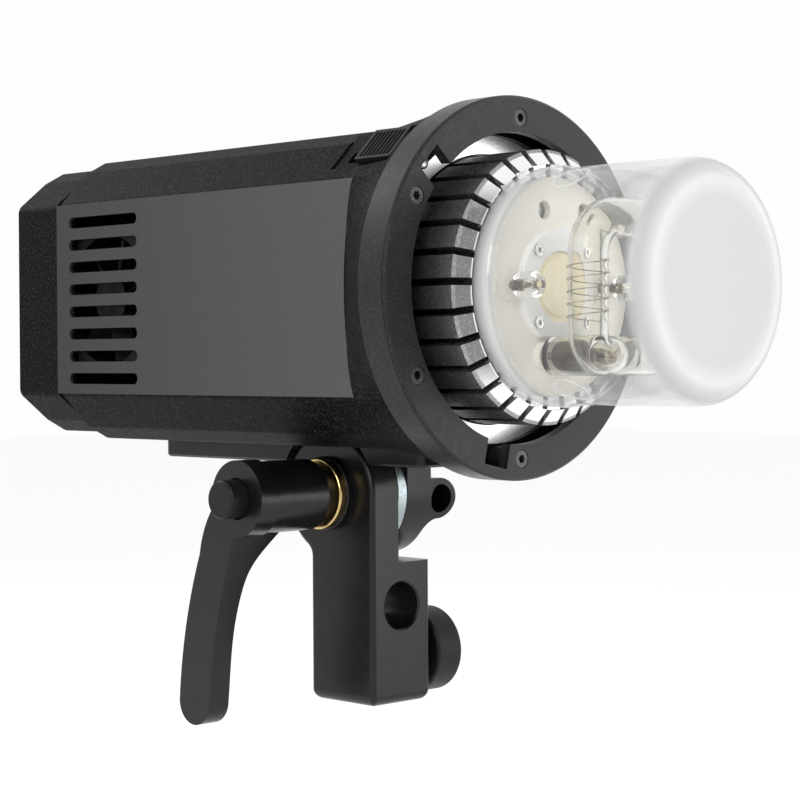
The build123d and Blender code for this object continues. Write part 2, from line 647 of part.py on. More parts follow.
rear_screw_plane = Plane(
    origin=(0, REAR_Y - 2.6, AXIS_Z), x_dir=(-1, 0, 0), z_dir=(0, 1, 0)
)
rear_screws = screw_row(
    rear_screw_plane, [(-x, z) for x, z in REAR_SCREW_PLACES], 2.9, 2.4, 1.6, 20.0, 1.4
)
save(rear_screws, "rear_screws")

# ---------------------------------------------------------------- rear controls
with BuildPart() as lcd_window:
    with BuildSketch(front_plane(REAR_Y - 0.4, WINDOW_Z)):
        RectangleRounded(WINDOW_W - 0.1, WINDOW_H - 0.1, 3.0)
    extrude(amount=1.6)
save(lcd_window.part, "lcd_window")

with BuildPart() as lcd_module:
    with BuildSketch(front_plane(REAR_INNER_Y - 0.2, WINDOW_Z)):
        RectangleRounded(WINDOW_W + 4.0, WINDOW_H + 2.0, 2.0)
    extrude(amount=4.0)
    with BuildSketch(front_plane(REAR_INNER_Y - 0.2, WINDOW_Z)):
        Rectangle(WINDOW_W - 6.0, WINDOW_H - 5.0)
    extrude(amount=1.0, mode=Mode.SUBTRACT)
save(lcd_module.part, "lcd_module")

with BuildPart() as dial:
    with BuildSketch(front_plane(REAR_Y + 8.4, DIAL_Z)):
        Circle(DIAL_R)
    extrude(amount=8.0)
    fillet(dial.faces().sort_by(Axis.Y)[-1].edges(), 1.0)
    with BuildSketch(front_plane(REAR_Y + 8.0, DIAL_Z)):
        with PolarLocations(DIAL_R + 0.2, 36):
            Circle(0.45)
    extrude(amount=7.2, mode=Mode.SUBTRACT)
    with BuildSketch(front_plane(REAR_Y + 0.4, DIAL_Z)):
        Circle(DIAL_BORE_R - 0.35)
    extrude(amount=5.0)
    with BuildSketch(front_plane(REAR_Y + 8.4, DIAL_Z)):
        Circle(6.0)
    extrude(amount=5.2, mode=Mode.SUBTRACT)
save(dial.part, "control_dial")

with BuildPart() as set_button:
    with BuildSketch(front_plane(REAR_Y + 8.8, DIAL_Z)):
        Circle(6.0 - SLOT_CLEAR)
    extrude(amount=3.6)
    fillet(set_button.faces().sort_by(Axis.Y)[-1].edges(), 0.6)
save(set_button.part, "set_button")

for key_name, key_x in zip(("mode_button", "group_button", "lamp_button", "sync_button"), KEY_XS):
    with BuildPart() as key:
        with BuildSketch(front_plane(REAR_Y + 1.6, KEY_Z, key_x)):
            RectangleRounded(KEY_W, KEY_H, 1.6)
        extrude(amount=4.6)
        fillet(key.faces().sort_by(Axis.Y)[-1].edges(), 0.5)
    save(key.part, key_name)

for round_name, round_x, round_r in (("test_button", -ROUND_X, 5.0), ("power_button", ROUND_X, 6.0)):
    with BuildPart() as round_button:
        with BuildSketch(front_plane(REAR_Y + 1.6, DIAL_Z, round_x)):
            Circle(round_r)
        extrude(amount=4.6)
        fillet(round_button.faces().sort_by(Axis.Y)[-1].edges(), 0.8)
    save(round_button.part, round_name)

with BuildPart() as sync_jack:
    with BuildSketch(front_plane(REAR_Y - 0.3, PORT_Z, JACK_X)):
        Circle(2.95)
    extrude(amount=3.0)
    with BuildSketch(front_plane(REAR_INNER_Y - 0.1, PORT_Z, JACK_X)):
        Rectangle(8.0, 7.0)
    extrude(amount=12.0)
    with BuildSketch(front_plane(REAR_Y, PORT_Z, JACK_X)):
        Circle(1.8)
    extrude(amount=12.3, mode=Mode.SUBTRACT)
save(sync_jack.part, "sync_jack")

with BuildPart() as usb_socket:
    with BuildSketch(front_plane(REAR_Y - 0.3, PORT_Z, USB_X)):
        Rectangle(9.0, 3.6)
    extrude(amount=9.0)
    with BuildSketch(front_plane(REAR_Y - 0.3, PORT_Z, USB_X)):
        Rectangle(8.2, 2.8)
    extrude(amount=6.5, mode=Mode.SUBTRACT)
    with BuildSketch(front_plane(REAR_Y - 2.0, PORT_Z, USB_X)):
        Rectangle(6.8, 0.8)
    extrude(amount=5.0)
save(usb_socket.part, "usb_socket")

COVER_Y = (REAR_Y + 0.35, REAR_Y + 2.2)
COVER_AXIS = (REAR_Y + 1.6, PORT_Z - 5.2)
with BuildPart() as port_cover:
    with BuildSketch(front_plane(COVER_Y[1], PORT_Z + 0.5, USB_X)):
        RectangleRounded(17.0, 11.0, 2.0)
    extrude(amount=COVER_Y[1] - COVER_Y[0])
    fillet(port_cover.faces().sort_by(Axis.Y)[-1].edges(), 0.6)
    add(cylinder_x(1.2, USB_X - 6.0, USB_X + 6.0, *COVER_AXIS))
save(port_cover.part, "port_cover")

with BuildPart() as sensor:
    with BuildSketch(front_plane(REAR_Y + 0.3, SENSOR_Z)):
        Circle(1.9)
    extrude(amount=2.8)
    fillet(sensor.faces().sort_by(Axis.Y)[-1].edges(), 0.8)
save(sensor.part, "sensor_window")

# ---------------------------------------------------------------- accessory ring
with BuildPart() as ring:
    with BuildSketch(front_plane(RING_REAR_Y)):
        Circle(RING_R)
        Circle(RING_CAVITY_R, mode=Mode.SUBTRACT)
    extrude(amount=RING_DEPTH)
    with BuildSketch(front_plane(RING_FRONT_Y + RING_LIP)):
        Circle(RING_CAVITY_R + 1)
        Circle(RING_OPENING_R, mode=Mode.SUBTRACT)
        for slot_angle in BAYONET_SLOT_ANGLES:
            slot_mid = (RING_OPENING_R + BAYONET_SLOT_R) / 2 - 1
            with Locations(Location((*polar(slot_mid, slot_angle), 0), (0, 0, slot_angle))):
                slot_width = 2 * slot_mid * sin(radians(BAYONET_SLOT_DEG / 2))
                Rectangle(BAYONET_SLOT_R - RING_OPENING_R + 2, slot_width, mode=Mode.SUBTRACT)
    extrude(amount=RING_LIP)
    chamfer(ring.faces().sort_by(Axis.Y)[0].outer_wire().edges(), 0.8)
    with BuildSketch(front_plane(RING_REAR_Y)):
        with Locations(*[polar(RING_SCREW_R, a) for a in RING_SCREW_ANGLES]):
            Circle(3.9)
    extrude(amount=RING_DEPTH - 1.0)
    with BuildSketch(front_plane(RING_REAR_Y)):
        with Locations(*[polar(RING_SCREW_R, a) for a in RING_SCREW_ANGLES]):
            Circle(1.6)
    extrude(amount=RING_DEPTH, mode=Mode.SUBTRACT)
    with BuildSketch(front_plane(RING_FRONT_Y)):
        with Locations(*[polar(RING_SCREW_R, a) for a in RING_SCREW_ANGLES]):
            Circle(3.0)
    extrude(amount=-3.2, mode=Mode.SUBTRACT)
save(ring.part, "bayonet_ring")

ring_screws = screw_row(
    front_plane(RING_FRONT_Y + 3.2),
    [polar(RING_SCREW_R, a) for a in RING_SCREW_ANGLES], 2.8, 3.0, 1.5, 12.0, 1.5,
)
save(ring_screws, "ring_screws")

# ---------------------------------------------------------------- accessory lock
with BuildPart() as track:
    with BuildSketch(bevel_plane(SLIDER_D - 2.2, sum(TRACK_Y) / 2, SLIDER_SHIFT)):
        Rectangle(TRACK_Y[1] - TRACK_Y[0] - 0.2, SLIDER_W + 4.0)
    extrude(amount=2.2)
    with BuildSketch(bevel_plane(SLIDER_D + 1, -45.0)):
        Rectangle(18.0, 5.0)
    extrude(amount=-5.0, mode=Mode.SUBTRACT)
save(track.part, "slider_track")

with BuildPart() as slider:
    slider_mid_y = sum(SLIDER_Y) / 2
    with BuildSketch(bevel_plane(SLIDER_D + 0.3, slider_mid_y, SLIDER_SHIFT)):
        Rectangle(SLIDER_Y[1] - SLIDER_Y[0], SLIDER_W)
    extrude(amount=2.0)
    with BuildSketch(bevel_plane(SLIDER_D + 2.3, slider_mid_y, SLIDER_SHIFT)):
        with GridLocations(1.75, 1, SLIDER_RIBS, 1):
            Rectangle(0.95, SLIDER_W - 2.4)
    extrude(amount=-0.7, mode=Mode.SUBTRACT)
    # foot through the track's window, down to the pin
    with BuildSketch(bevel_plane(SLIDER_D + 0.5, -50.0)):
        Rectangle(6.0, 4.2)
    extrude(amount=-7.4)
save(slider.part, "lock_slider")

PIN_SPAN = (-66.0, -47.0)
with BuildPart() as lock_pin:
    pin_x, pin_dz = polar(PIN_RADIUS, PIN_ANGLE)
    add(cylinder_y(2.2, PIN_SPAN[1], PIN_SPAN[0], pin_x, AXIS_Z + pin_dz))
    fillet(lock_pin.faces().sort_by(Axis.Y)[0].edges(), 1.0)
    add(block((-100, 0), (-53.4, -46.6), (AXIS_Z, AXIS_Z + 100)) & slider.part, mode=Mode.SUBTRACT)
save(lock_pin.part, "lock_pin")

with BuildPart() as slider_spring:
    with BuildSketch(front_plane(-35.0, AXIS_Z + pin_dz, pin_x)):
        Circle(2.2)
        Circle(1.5, mode=Mode.SUBTRACT)
    extrude(amount=11.9)
save(slider_spring.part, "slider_spring")

# ---------------------------------------------------------------- lamp front
with BuildPart() as reflector:
    with BuildSketch(front_plane(RING_REAR_Y + WALL + 1.2)):
        Circle(RING_OPENING_R)
        Circle(FIN_R + 0.4, mode=Mode.SUBTRACT)
    extrude(amount=1.2)
save(reflector.part, "reflector_plate")

with BuildPart() as fins:
    with BuildSketch(Plane.YZ):
        with BuildLine():
            Polyline(
                (FIN_REAR_Y, AXIS_Z),
                (FIN_REAR_Y, AXIS_Z + FIN_R),
                (FIN_EDGE_Y + 0.4, AXIS_Z + FIN_R),
                (FIN_EDGE_Y, AXIS_Z + FIN_R - 0.8),
                (FIN_FRONT_Y, AXIS_Z + FIN_CONE_R),
                (BASE_Y + BASE_T, AXIS_Z + FIN_CONE_R),
                (BASE_Y + BASE_T, AXIS_Z),
                close=True,
            )
        make_face()
    revolve(axis=Axis((0, 0, AXIS_Z), (0, 1, 0)))
    with BuildSketch(front_plane(FIN_REAR_Y - 5.0)):
        with PolarLocations((FIN_CORE_R + FIN_R) / 2 + 1, FIN_COUNT, start_angle=FIN_START_ANGLE):
            Rectangle(FIN_R - FIN_CORE_R + 2, FIN_SLOT_W)
    extrude(amount=50.0, mode=Mode.SUBTRACT)
    # groove that the dome's rim drops into
    with BuildSketch(front_plane(DOME_REAR_Y + 0.5)):
        Circle(DOME_BASE_R + 0.5)
        Circle(DOME_R - DOME_WALL - 0.5, mode=Mode.SUBTRACT)
    extrude(amount=20.0, mode=Mode.SUBTRACT)
save(fins.part, "fin_drum")

SOCKET_PLACES = ((-LEG_X, LEG_Z), (LEG_X, LEG_Z), (-POST_X, 0), (POST_X, 0))
BASE_R = DOME_R - DOME_WALL - 0.5
with BuildPart() as lamp_base:
    with BuildSketch(front_plane(BASE_Y + BASE_T)):
        Circle(BASE_R)
        with Locations(*SOCKET_PLACES):
            Circle(3.4, mode=Mode.SUBTRACT)
        with Locations((-5.8, 24.4), (13.6, 24.4)):
            Circle(3.0, mode=Mode.SUBTRACT)
    extrude(amount=BASE_T)
save(lamp_base.part, "lamp_base")

with BuildPart() as sockets:
    with BuildSketch(front_plane(BASE_Y + BASE_T)):
        with Locations(*SOCKET_PLACES):
            Circle(3.4)
    extrude(amount=BASE_T)
    with BuildSketch(front_plane(BASE_Y)):
        with Locations(*SOCKET_PLACES):
            Circle(4.6)
    extrude(amount=2.6)
    with BuildSketch(front_plane(BASE_Y + BASE_T)):
        with Locations(*SOCKET_PLACES):
            Circle(SOCKET_BORE_R)
    extrude(amount=BASE_T + 2.6, mode=Mode.SUBTRACT)
save(sockets.part, "tube_sockets")

LED_SCREW_PLACES = ((-11.5, 11.4), (-11.5, -11.4), (11.5, 11.4), (11.5, -11.4))
with BuildPart() as led_holder:
    with BuildSketch(front_plane(BASE_Y)):
        Circle(18.8)
        with Locations((0, LEG_Z)):
            Rectangle(24.0, 12.0, mode=Mode.SUBTRACT)
        Circle(11.4, mode=Mode.SUBTRACT)
    extrude(amount=2.2)
    fillet(led_holder.faces().sort_by(Axis.Y)[0].edges(), 0.5)
    with BuildSketch(front_plane(BASE_Y)):
        with Locations(*LED_SCREW_PLACES):
            Circle(1.3)
    extrude(amount=3.0, mode=Mode.SUBTRACT)
save(led_holder.part, "led_holder")

with BuildPart() as led_cob:
    with BuildSketch(front_plane(BASE_Y)):
        Circle(11.3)
    extrude(amount=1.0)
    with BuildSketch(front_plane(BASE_Y - 1.0)):
        Circle(9.2)
    extrude(amount=0.6)
save(led_cob.part, "led_cob")

led_screws = screw_row(front_plane(BASE_Y - 2.2), LED_SCREW_PLACES, 1.9, 0.9, 1.3, 2.1, 0.9)
save(led_screws, "led_screws")

# ---------------------------------------------------------------- flash tube
leg_z = AXIS_Z + LEG_Z


def tube_path_points(rear_y):
    """Corners of the lamp's centre line: up one leg, round the square, down the other."""
    return [
        (-LEG_X, rear_y, leg_z),
        (-LEG_X, TUBE_Y, leg_z),
        (-TUBE_HALF, TUBE_Y, leg_z),
        (-TUBE_HALF, TUBE_Y, AXIS_Z + TUBE_HALF),
        (TUBE_HALF, TUBE_Y, AXIS_Z + TUBE_HALF),
        (TUBE_HALF, TUBE_Y, leg_z),
        (LEG_X, TUBE_Y, leg_z),
        (LEG_X, rear_y, leg_z),
    ]


def tube_sweep(radius, rear_y):
    """A round bar along the lamp's centre line."""
    with BuildPart() as bar:
        with BuildLine() as path:
            FilletPolyline(*tube_path_points(rear_y), radius=TUBE_BEND_RADII)
        with BuildSketch(Plane(origin=path.line @ 0, z_dir=path.line % 0)):
            Circle(radius)
        sweep()
    return bar.part


TUBE_BEND_RADII = 2 * [TUBE_BEND_R] + 2 * [TUBE_CORNER_R] + 2 * [TUBE_BEND_R]
outer_glass = tube_sweep(TUBE_R, LEG_REAR_Y)
inner_space = tube_sweep(TUBE_BORE_R, LEG_REAR_Y - 1.4)
PIN_PLACES = [(-LEG_X, leg_z), (LEG_X, leg_z)]
POST_PLACES = [(-POST_X, AXIS_Z), (POST_X, AXIS_Z)]
with BuildPart() as posts:
    with BuildSketch(front_plane(LEG_REAR_Y, 0)):
        with Locations(*POST_PLACES):
            Circle(4.2)
    extrude(amount=9.0)
    fillet(posts.edges().filter_by(GeomType.CIRCLE), 2.0)

with BuildPart() as flash_tube:
    add(outer_glass)
    add(inner_space, mode=Mode.SUBTRACT)
    add(posts.part)
    with BuildSketch(front_plane(LEG_REAR_Y, 0)):
        with Locations(*PIN_PLACES, *POST_PLACES):
            Circle(PIN_R)
    extrude(amount=9.0, mode=Mode.SUBTRACT)
save(flash_tube.part, "flash_tube")

with BuildPart() as electrodes:
    with BuildSketch(front_plane(BASE_Y + BASE_T, 0)):
        with Locations(*PIN_PLACES, *POST_PLACES):
            Circle(PIN_R)
    extrude(amount=BASE_Y + BASE_T - LEG_REAR_Y + 4.0)
    with BuildSketch(front_plane(LEG_REAR_Y - 4.0, 0)):
        with Locations(*PIN_PLACES):
            Circle(3.2)
    extrude(amount=9.0)
save(electrodes.part, "tube_electrodes")

WIRE_TURNS = 5
WIRE_PITCH = 4.8
WIRE_Z = (-12.0, -12.0 + WIRE_PITCH * (WIRE_TURNS - 1) + 0.6)
with BuildPart() as trigger_wire:
    for turn in range(WIRE_TURNS):
        with BuildSketch(Plane.XY.offset(AXIS_Z + WIRE_Z[0] + WIRE_PITCH * turn)):
            with Locations((-TUBE_HALF, TUBE_Y)):
                Circle(TUBE_R + 0.65)
                Circle(TUBE_R + 0.05, mode=Mode.SUBTRACT)
        extrude(amount=0.6)
    add(block((-TUBE_HALF - 0.4, -TUBE_HALF + 0.4), (TUBE_Y - TUBE_R - 0.7, TUBE_Y - TUBE_R - 0.1),
              (AXIS_Z + WIRE_Z[0], AXIS_Z + WIRE_Z[1])))
save(trigger_wire.part, "trigger_wire")

# ---------------------------------------------------------------- glass dome
with BuildPart() as dome_space:
    with BuildSketch(front_plane(DOME_REAR_Y)):
        Circle(DOME_R - DOME_WALL)
    extrude(amount=DOME_REAR_Y - DOME_FRONT_Y - DOME_WALL)
    fillet(dome_space.faces().sort_by(Axis.Y)[0].edges(), DOME_EDGE_R - DOME_WALL)

with BuildPart() as dome:
    with BuildSketch(front_plane(DOME_REAR_Y)):
        Circle(DOME_R)
    extrude(amount=DOME_REAR_Y - DOME_FRONT_Y)
    fillet(dome.faces().sort_by(Axis.Y)[0].edges(), DOME_EDGE_R)
    with BuildSketch(front_plane(DOME_REAR_Y)):
        Circle(DOME_BASE_R)
    extrude(amount=DOME_RIM)
    add(dome_space.part, mode=Mode.SUBTRACT)
save(dome.part, "glass_dome")

# ---------------------------------------------------------------- electronics
BOARD_X = -6.0
with BuildPart() as main_board:
    add(block((BOARD_X - 1.6, BOARD_X), (-20.0, 100.0), (108.0, 182.0)))
    for chip_y, chip_z, chip_h in ((-5, 172, 6), (20, 172, 4), (48, 172, 8), (78, 168, 5), (84, 120, 6)):
        add(block((BOARD_X, BOARD_X + chip_h), (chip_y - 7, chip_y + 7), (chip_z - 6, chip_z + 6)))
save(main_board.part, "main_board")

CAP_PLACES = ((-2.0, 124.0), (29.0, 124.0), (-2.0, 155.0), (29.0, 155.0))
with BuildPart() as capacitors:
    with BuildSketch(side_plane(-44.0)):
        with Locations(*CAP_PLACES):
            Circle(15.0)
    extrude(amount=34.0)
    fillet(capacitors.edges().filter_by(GeomType.CIRCLE), 1.2)
save(capacitors.part, "capacitor_bank")

with BuildPart() as transformer:
    add(block((-4.0, 18.0), (0.0, 34.0), (112.0, 134.0)))
    add(block((-5.0, 19.0), (6.0, 28.0), (116.0, 130.0)))
save(transformer.part, "charging_transformer")

with BuildPart() as trigger_coil:
    add(cylinder_y(9.0, -24.0, -44.0, -26.0, 128.0))
    add(cylinder_y(10.5, -25.0, -27.0, -26.0, 128.0))
    add(cylinder_y(10.5, -41.0, -43.0, -26.0, 128.0))
save(trigger_coil.part, "trigger_coil")

BOARD_Y = (134.3, 135.9)
with BuildPart() as control_board:
    add(block((-35.0, 35.0), BOARD_Y, (110.0, 144.0)))
    for pad_x in KEY_XS:
        add(block((pad_x - 3, pad_x + 3), (BOARD_Y[1], BOARD_Y[1] + 0.8), (KEY_Z - 2.4, KEY_Z + 2.4)))
save(control_board.part, "control_board")

with BuildPart() as speaker:
    with BuildSketch(front_plane(BOARD_Y[0], 122.0, 24.0)):
        Circle(8.0)
    extrude(amount=5.0)
save(speaker.part, "speaker")

# ---------------------------------------------------------------- fan
with BuildPart() as fan_frame:
    with BuildSketch(side_plane(FAN_X[0], FAN_Y, FAN_Z)):
        RectangleRounded(FAN_SIZE, FAN_SIZE, 4.0)
        Circle(FAN_SIZE / 2 - 1.5, mode=Mode.SUBTRACT)
        with GridLocations(FAN_SIZE - 8, FAN_SIZE - 8, 2, 2):
            Circle(2.1, mode=Mode.SUBTRACT)
    extrude(amount=FAN_X[1] - FAN_X[0])
    with BuildSketch(side_plane(FAN_X[1] - 2.0, FAN_Y, FAN_Z)):
        Circle(9.0)
        for arm in range(3):
            with Locations(Location((0, 0, 0), (0, 0, 120.0 * arm + 20.0))):
                with Locations((FAN_SIZE / 4, 0)):
                    Rectangle(FAN_SIZE / 2 - 1.0, 2.6)
    extrude(amount=2.0)
    with BuildSketch(side_plane(FAN_X[0] + 2.0, FAN_Y, FAN_Z)):
        Circle(1.45)
    extrude(amount=7.0)
save(fan_frame.part, "fan_frame")

with BuildPart() as rotor:
    with BuildSketch(side_plane(FAN_X[0] + 0.8, FAN_Y, FAN_Z)):
        Circle(9.0)
    extrude(amount=6.6)
    for blade in range(7):
        blade_angle = blade * 360.0 / 7
        blade_plane = Plane(
            origin=(FAN_X[0] + 4.1, FAN_Y, FAN_Z),
            x_dir=(0, cos(radians(blade_angle)), sin(radians(blade_angle))),
            z_dir=(0.62, -sin(radians(blade_angle)) * 0.78, cos(radians(blade_angle)) * 0.78),
        )
        with BuildSketch(blade_plane):
            with Locations((15.0, 0)):
                Rectangle(14.6, 7.6)
        extrude(amount=0.5, both=True)
    with BuildSketch(side_plane(FAN_X[0] + 1.9, FAN_Y, FAN_Z)):
        Circle(1.5)
    extrude(amount=8.0, mode=Mode.SUBTRACT)
save(rotor.part, "fan_rotor")

# ---------------------------------------------------------------- battery pack
LATCH_Y = (78.0, 100.0)
LATCH_HALF_H = 9.0
with BuildPart() as battery:
    add(block((BATTERY_X, BODY_HALF_W), BATTERY_Y, (AXIS_Z - BATTERY_HALF_H, AXIS_Z + BATTERY_HALF_H)))
    chamfer(battery.faces().sort_by(Axis.X)[-1].edges(), 1.0)
    # inside space of the cells, and the latch's pocket
    add(block((BATTERY_X + 2, BODY_HALF_W - 7), (BATTERY_Y[0] + 2, BATTERY_Y[1] - 2),
              (AXIS_Z - BATTERY_HALF_H + 2, AXIS_Z + BATTERY_HALF_H - 2)), mode=Mode.SUBTRACT)
    add(block((BODY_HALF_W - 5.5, BODY_HALF_W + 1), LATCH_Y,
              (AXIS_Z - LATCH_HALF_H, AXIS_Z + LATCH_HALF_H)), mode=Mode.SUBTRACT)
save(battery.part, "battery_case")

CELL_R = 9.0
with BuildPart() as cells:
    with BuildSketch(front_plane(BATTERY_Y[0] + 70.0, AXIS_Z, (BATTERY_X + BODY_HALF_W - 5) / 2)):
        with GridLocations(1, 2 * CELL_R + 0.6, 1, 3):
            Circle(CELL_R)
    extrude(amount=65.0)
    fillet(cells.edges().filter_by(GeomType.CIRCLE), 0.8)
save(cells.part, "battery_cells")

with BuildPart() as contacts:
    for contact in range(5):
        contact_z = AXIS_Z + (contact - 2) * 5.0
        add(block((BATTERY_X - 0.3, BATTERY_X), (20.0, 29.0), (contact_z - 1.3, contact_z + 1.3)))
save(contacts.part, "battery_contacts")

with BuildPart() as latch:
    add(block((BODY_HALF_W - 3.0, BODY_HALF_W), (LATCH_Y[0] + SLOT_CLEAR, LATCH_Y[1] - SLOT_CLEAR),
              (AXIS_Z - LATCH_HALF_H + SLOT_CLEAR, AXIS_Z + LATCH_HALF_H - SLOT_CLEAR)))
    with BuildSketch(Plane.XY.offset(AXIS_Z - LATCH_HALF_H - 1)):
        with Locations(*[(BODY_HALF_W, LATCH_Y[0] + 3.0 + 2.6 * i) for i in range(7)]):
            Rectangle(1.2, 1.1)
    extrude(amount=2 * LATCH_HALF_H + 2, mode=Mode.SUBTRACT)
save(latch.part, "battery_latch")
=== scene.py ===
"""Looks of the monolight strobe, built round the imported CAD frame."""
import json
from math import cos, pi, radians, sin

import bmesh
import bpy
from mathutils import Matrix, Vector


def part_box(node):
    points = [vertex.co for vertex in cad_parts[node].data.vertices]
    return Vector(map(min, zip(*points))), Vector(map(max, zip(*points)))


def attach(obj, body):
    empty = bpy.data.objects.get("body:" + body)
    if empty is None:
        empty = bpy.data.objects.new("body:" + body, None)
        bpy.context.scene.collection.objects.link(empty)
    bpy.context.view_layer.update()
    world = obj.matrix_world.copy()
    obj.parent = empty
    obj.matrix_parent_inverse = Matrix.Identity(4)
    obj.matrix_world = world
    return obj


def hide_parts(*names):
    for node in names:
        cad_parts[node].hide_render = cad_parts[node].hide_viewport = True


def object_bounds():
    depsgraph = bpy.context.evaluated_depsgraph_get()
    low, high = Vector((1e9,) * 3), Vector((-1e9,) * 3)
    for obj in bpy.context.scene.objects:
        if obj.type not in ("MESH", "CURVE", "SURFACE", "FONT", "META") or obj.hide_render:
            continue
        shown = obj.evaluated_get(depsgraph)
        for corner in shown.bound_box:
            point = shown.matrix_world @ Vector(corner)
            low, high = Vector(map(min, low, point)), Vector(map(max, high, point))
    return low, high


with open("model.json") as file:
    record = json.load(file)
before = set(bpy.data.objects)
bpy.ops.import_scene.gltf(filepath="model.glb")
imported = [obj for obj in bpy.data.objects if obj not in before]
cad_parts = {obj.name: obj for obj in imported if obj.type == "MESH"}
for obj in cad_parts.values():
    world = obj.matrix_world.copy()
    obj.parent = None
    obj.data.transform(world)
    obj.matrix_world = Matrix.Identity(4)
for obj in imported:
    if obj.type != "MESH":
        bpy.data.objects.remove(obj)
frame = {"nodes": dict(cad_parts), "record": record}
CAD_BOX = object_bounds()
MM = 0.001
NODES = frame["nodes"]


def middle(node):
    """The middle of a CAD node's box."""
    low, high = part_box(node)
    return (Vector(low) + Vector(high)) / 2


AXIS_Z = middle("fin_drum").z
PIVOT = middle("brass_collar")


# ------------------------------------------------------------------ node helpers
class Surface:
    """A procedural material on one Principled shader, in the row frame's own metres."""

    def __init__(self, name, color, rough, metallic=0.0, specular=0.5):
        self.material = bpy.data.materials.new(name)
        self.material.use_nodes = True
        self.tree = self.material.node_tree
        self.shader = self.tree.nodes["Principled BSDF"]
        self.shader.inputs["Base Color"].default_value = (*color, 1)
        self.shader.inputs["Roughness"].default_value = rough
        self.shader.inputs["Metallic"].default_value = metallic
        self.shader.inputs["Specular IOR Level"].default_value = specular
        self.place = self.node("ShaderNodeTexCoord").outputs["Object"]

    def node(self, kind, **values):
        made = self.tree.nodes.new(kind)
        for key, value in values.items():
            setattr(made, key, value)
        return made

    def link(self, source, target):
        self.tree.links.new(source, target)
        return self

    def noise(self, scale, detail=3.0, stretch=(1, 1, 1)):
        """Noise of so many cells a metre, stretched along the row's axes."""
        mapping = self.node("ShaderNodeMapping")
        mapping.inputs["Scale"].default_value = stretch
        self.link(self.place, mapping.inputs["Vector"])
        made = self.node("ShaderNodeTexNoise")
        made.inputs["Scale"].default_value = scale
        made.inputs["Detail"].default_value = detail
        self.link(mapping.outputs["Vector"], made.inputs["Vector"])
        return made.outputs["Fac"]

    def span(self, value, low, high, out_low=0.0, out_high=1.0):
        """Maps a value from one range to another, and stops at its ends."""
        made = self.node("ShaderNodeMapRange")
        made.inputs["From Min"].default_value = low
        made.inputs["From Max"].default_value = high
        made.inputs["To Min"].default_value = out_low
        made.inputs["To Max"].default_value = out_high
        self.link(value, made.inputs["Value"])
        return made.outputs["Result"]

    def blend(self, factor, first, second):
        """Mixes two colours; each is a triple or a socket."""
        made = self.node("ShaderNodeMix", data_type="RGBA")
        for index, color in ((6, first), (7, second)):
            if isinstance(color, tuple):
                made.inputs[index].default_value = (*color, 1)
            else:
                self.link(color, made.inputs[index])
        self.link(factor, made.inputs[0])
        return made.outputs[2]

    def math(self, operation, value, number=0.0):
        """One step of arithmetic between a linked value and a plain number."""
        made = self.node("ShaderNodeMath", operation=operation)
        self.link(value, made.inputs[0])
        made.inputs[1].default_value = number
        return made.outputs[0]

    def close_to(self, value, centre, reach):
        """One where a value is within reach of a centre, else nought."""
        made = self.node("ShaderNodeMath", operation="COMPARE")
        self.link(value, made.inputs[0])
        made.inputs[1].default_value = centre
        made.inputs[2].default_value = reach
        return made.outputs[0]

    def mix(self, factor, first, second):
        """Mixes a linked value towards a plain number."""
        made = self.node("ShaderNodeMix", data_type="FLOAT")
        self.link(factor, made.inputs[0])
        self.link(first, made.inputs[2])
        made.inputs[3].default_value = second
        return made.outputs[0]

    def facing(self, blend):
        """Nought where the surface faces the viewer and one where it is seen edge on."""
        made = self.node("ShaderNodeLayerWeight")
        made.inputs["Blend"].default_value = blend
        return made.outputs["Facing"]

    def color(self, source):
        return self.link(source, self.shader.inputs["Base Color"])

    def roughness(self, scale, low, high, stretch=(1, 1, 1)):
        value = self.span(self.noise(scale, 4.0, stretch), 0.35, 0.65, low, high)
        return self.link(value, self.shader.inputs["Roughness"])

    def bump(self, height, depth, strength=1.0):
        """Relief of a height in metres."""
        made = self.node("ShaderNodeBump")
        made.inputs["Distance"].default_value = depth
        made.inputs["Strength"].default_value = strength
        self.link(height, made.inputs["Height"])
        return self.link(made.outputs["Normal"], self.shader.inputs["Normal"])

    def axis(self, name):
        """One coordinate of the place, in metres."""
        made = self.node("ShaderNodeSeparateXYZ")
        self.link(self.place, made.inputs[0])
        return made.outputs[name]

    def rings(self, centre, axis, scale):
        """Fine turned rings about an axis through a point."""
        mapping = self.node("ShaderNodeMapping")
        mapping.inputs["Location"].default_value = -Vector(centre)
        self.link(self.place, mapping.inputs["Vector"])
        made = self.node("ShaderNodeTexWave", wave_type="RINGS", rings_direction=axis)
        made.inputs["Scale"].default_value = scale
        made.inputs["Distortion"].default_value = 1.2
        self.link(mapping.outputs["Vector"], made.inputs["Vector"])
        return made.outputs["Fac"]


# ------------------------------------------------------------------ plain finishes
def mottled(
    name, dark, light, rough, grain, depth,
    metallic=0.0, specular=0.5, cells=60.0, stretch=(1, 1, 1),
):
    """Two near colours in soft patches, uneven gloss and a fine grain."""
    made = Surface(name, dark, rough[0], metallic, specular)
    made.color(made.blend(made.span(made.noise(cells, 4.0), 0.35, 0.65), dark, light))
    made.roughness(cells * 3, rough[0], rough[1], stretch)
    made.bump(made.noise(grain, 2.0, stretch), depth)
    return made


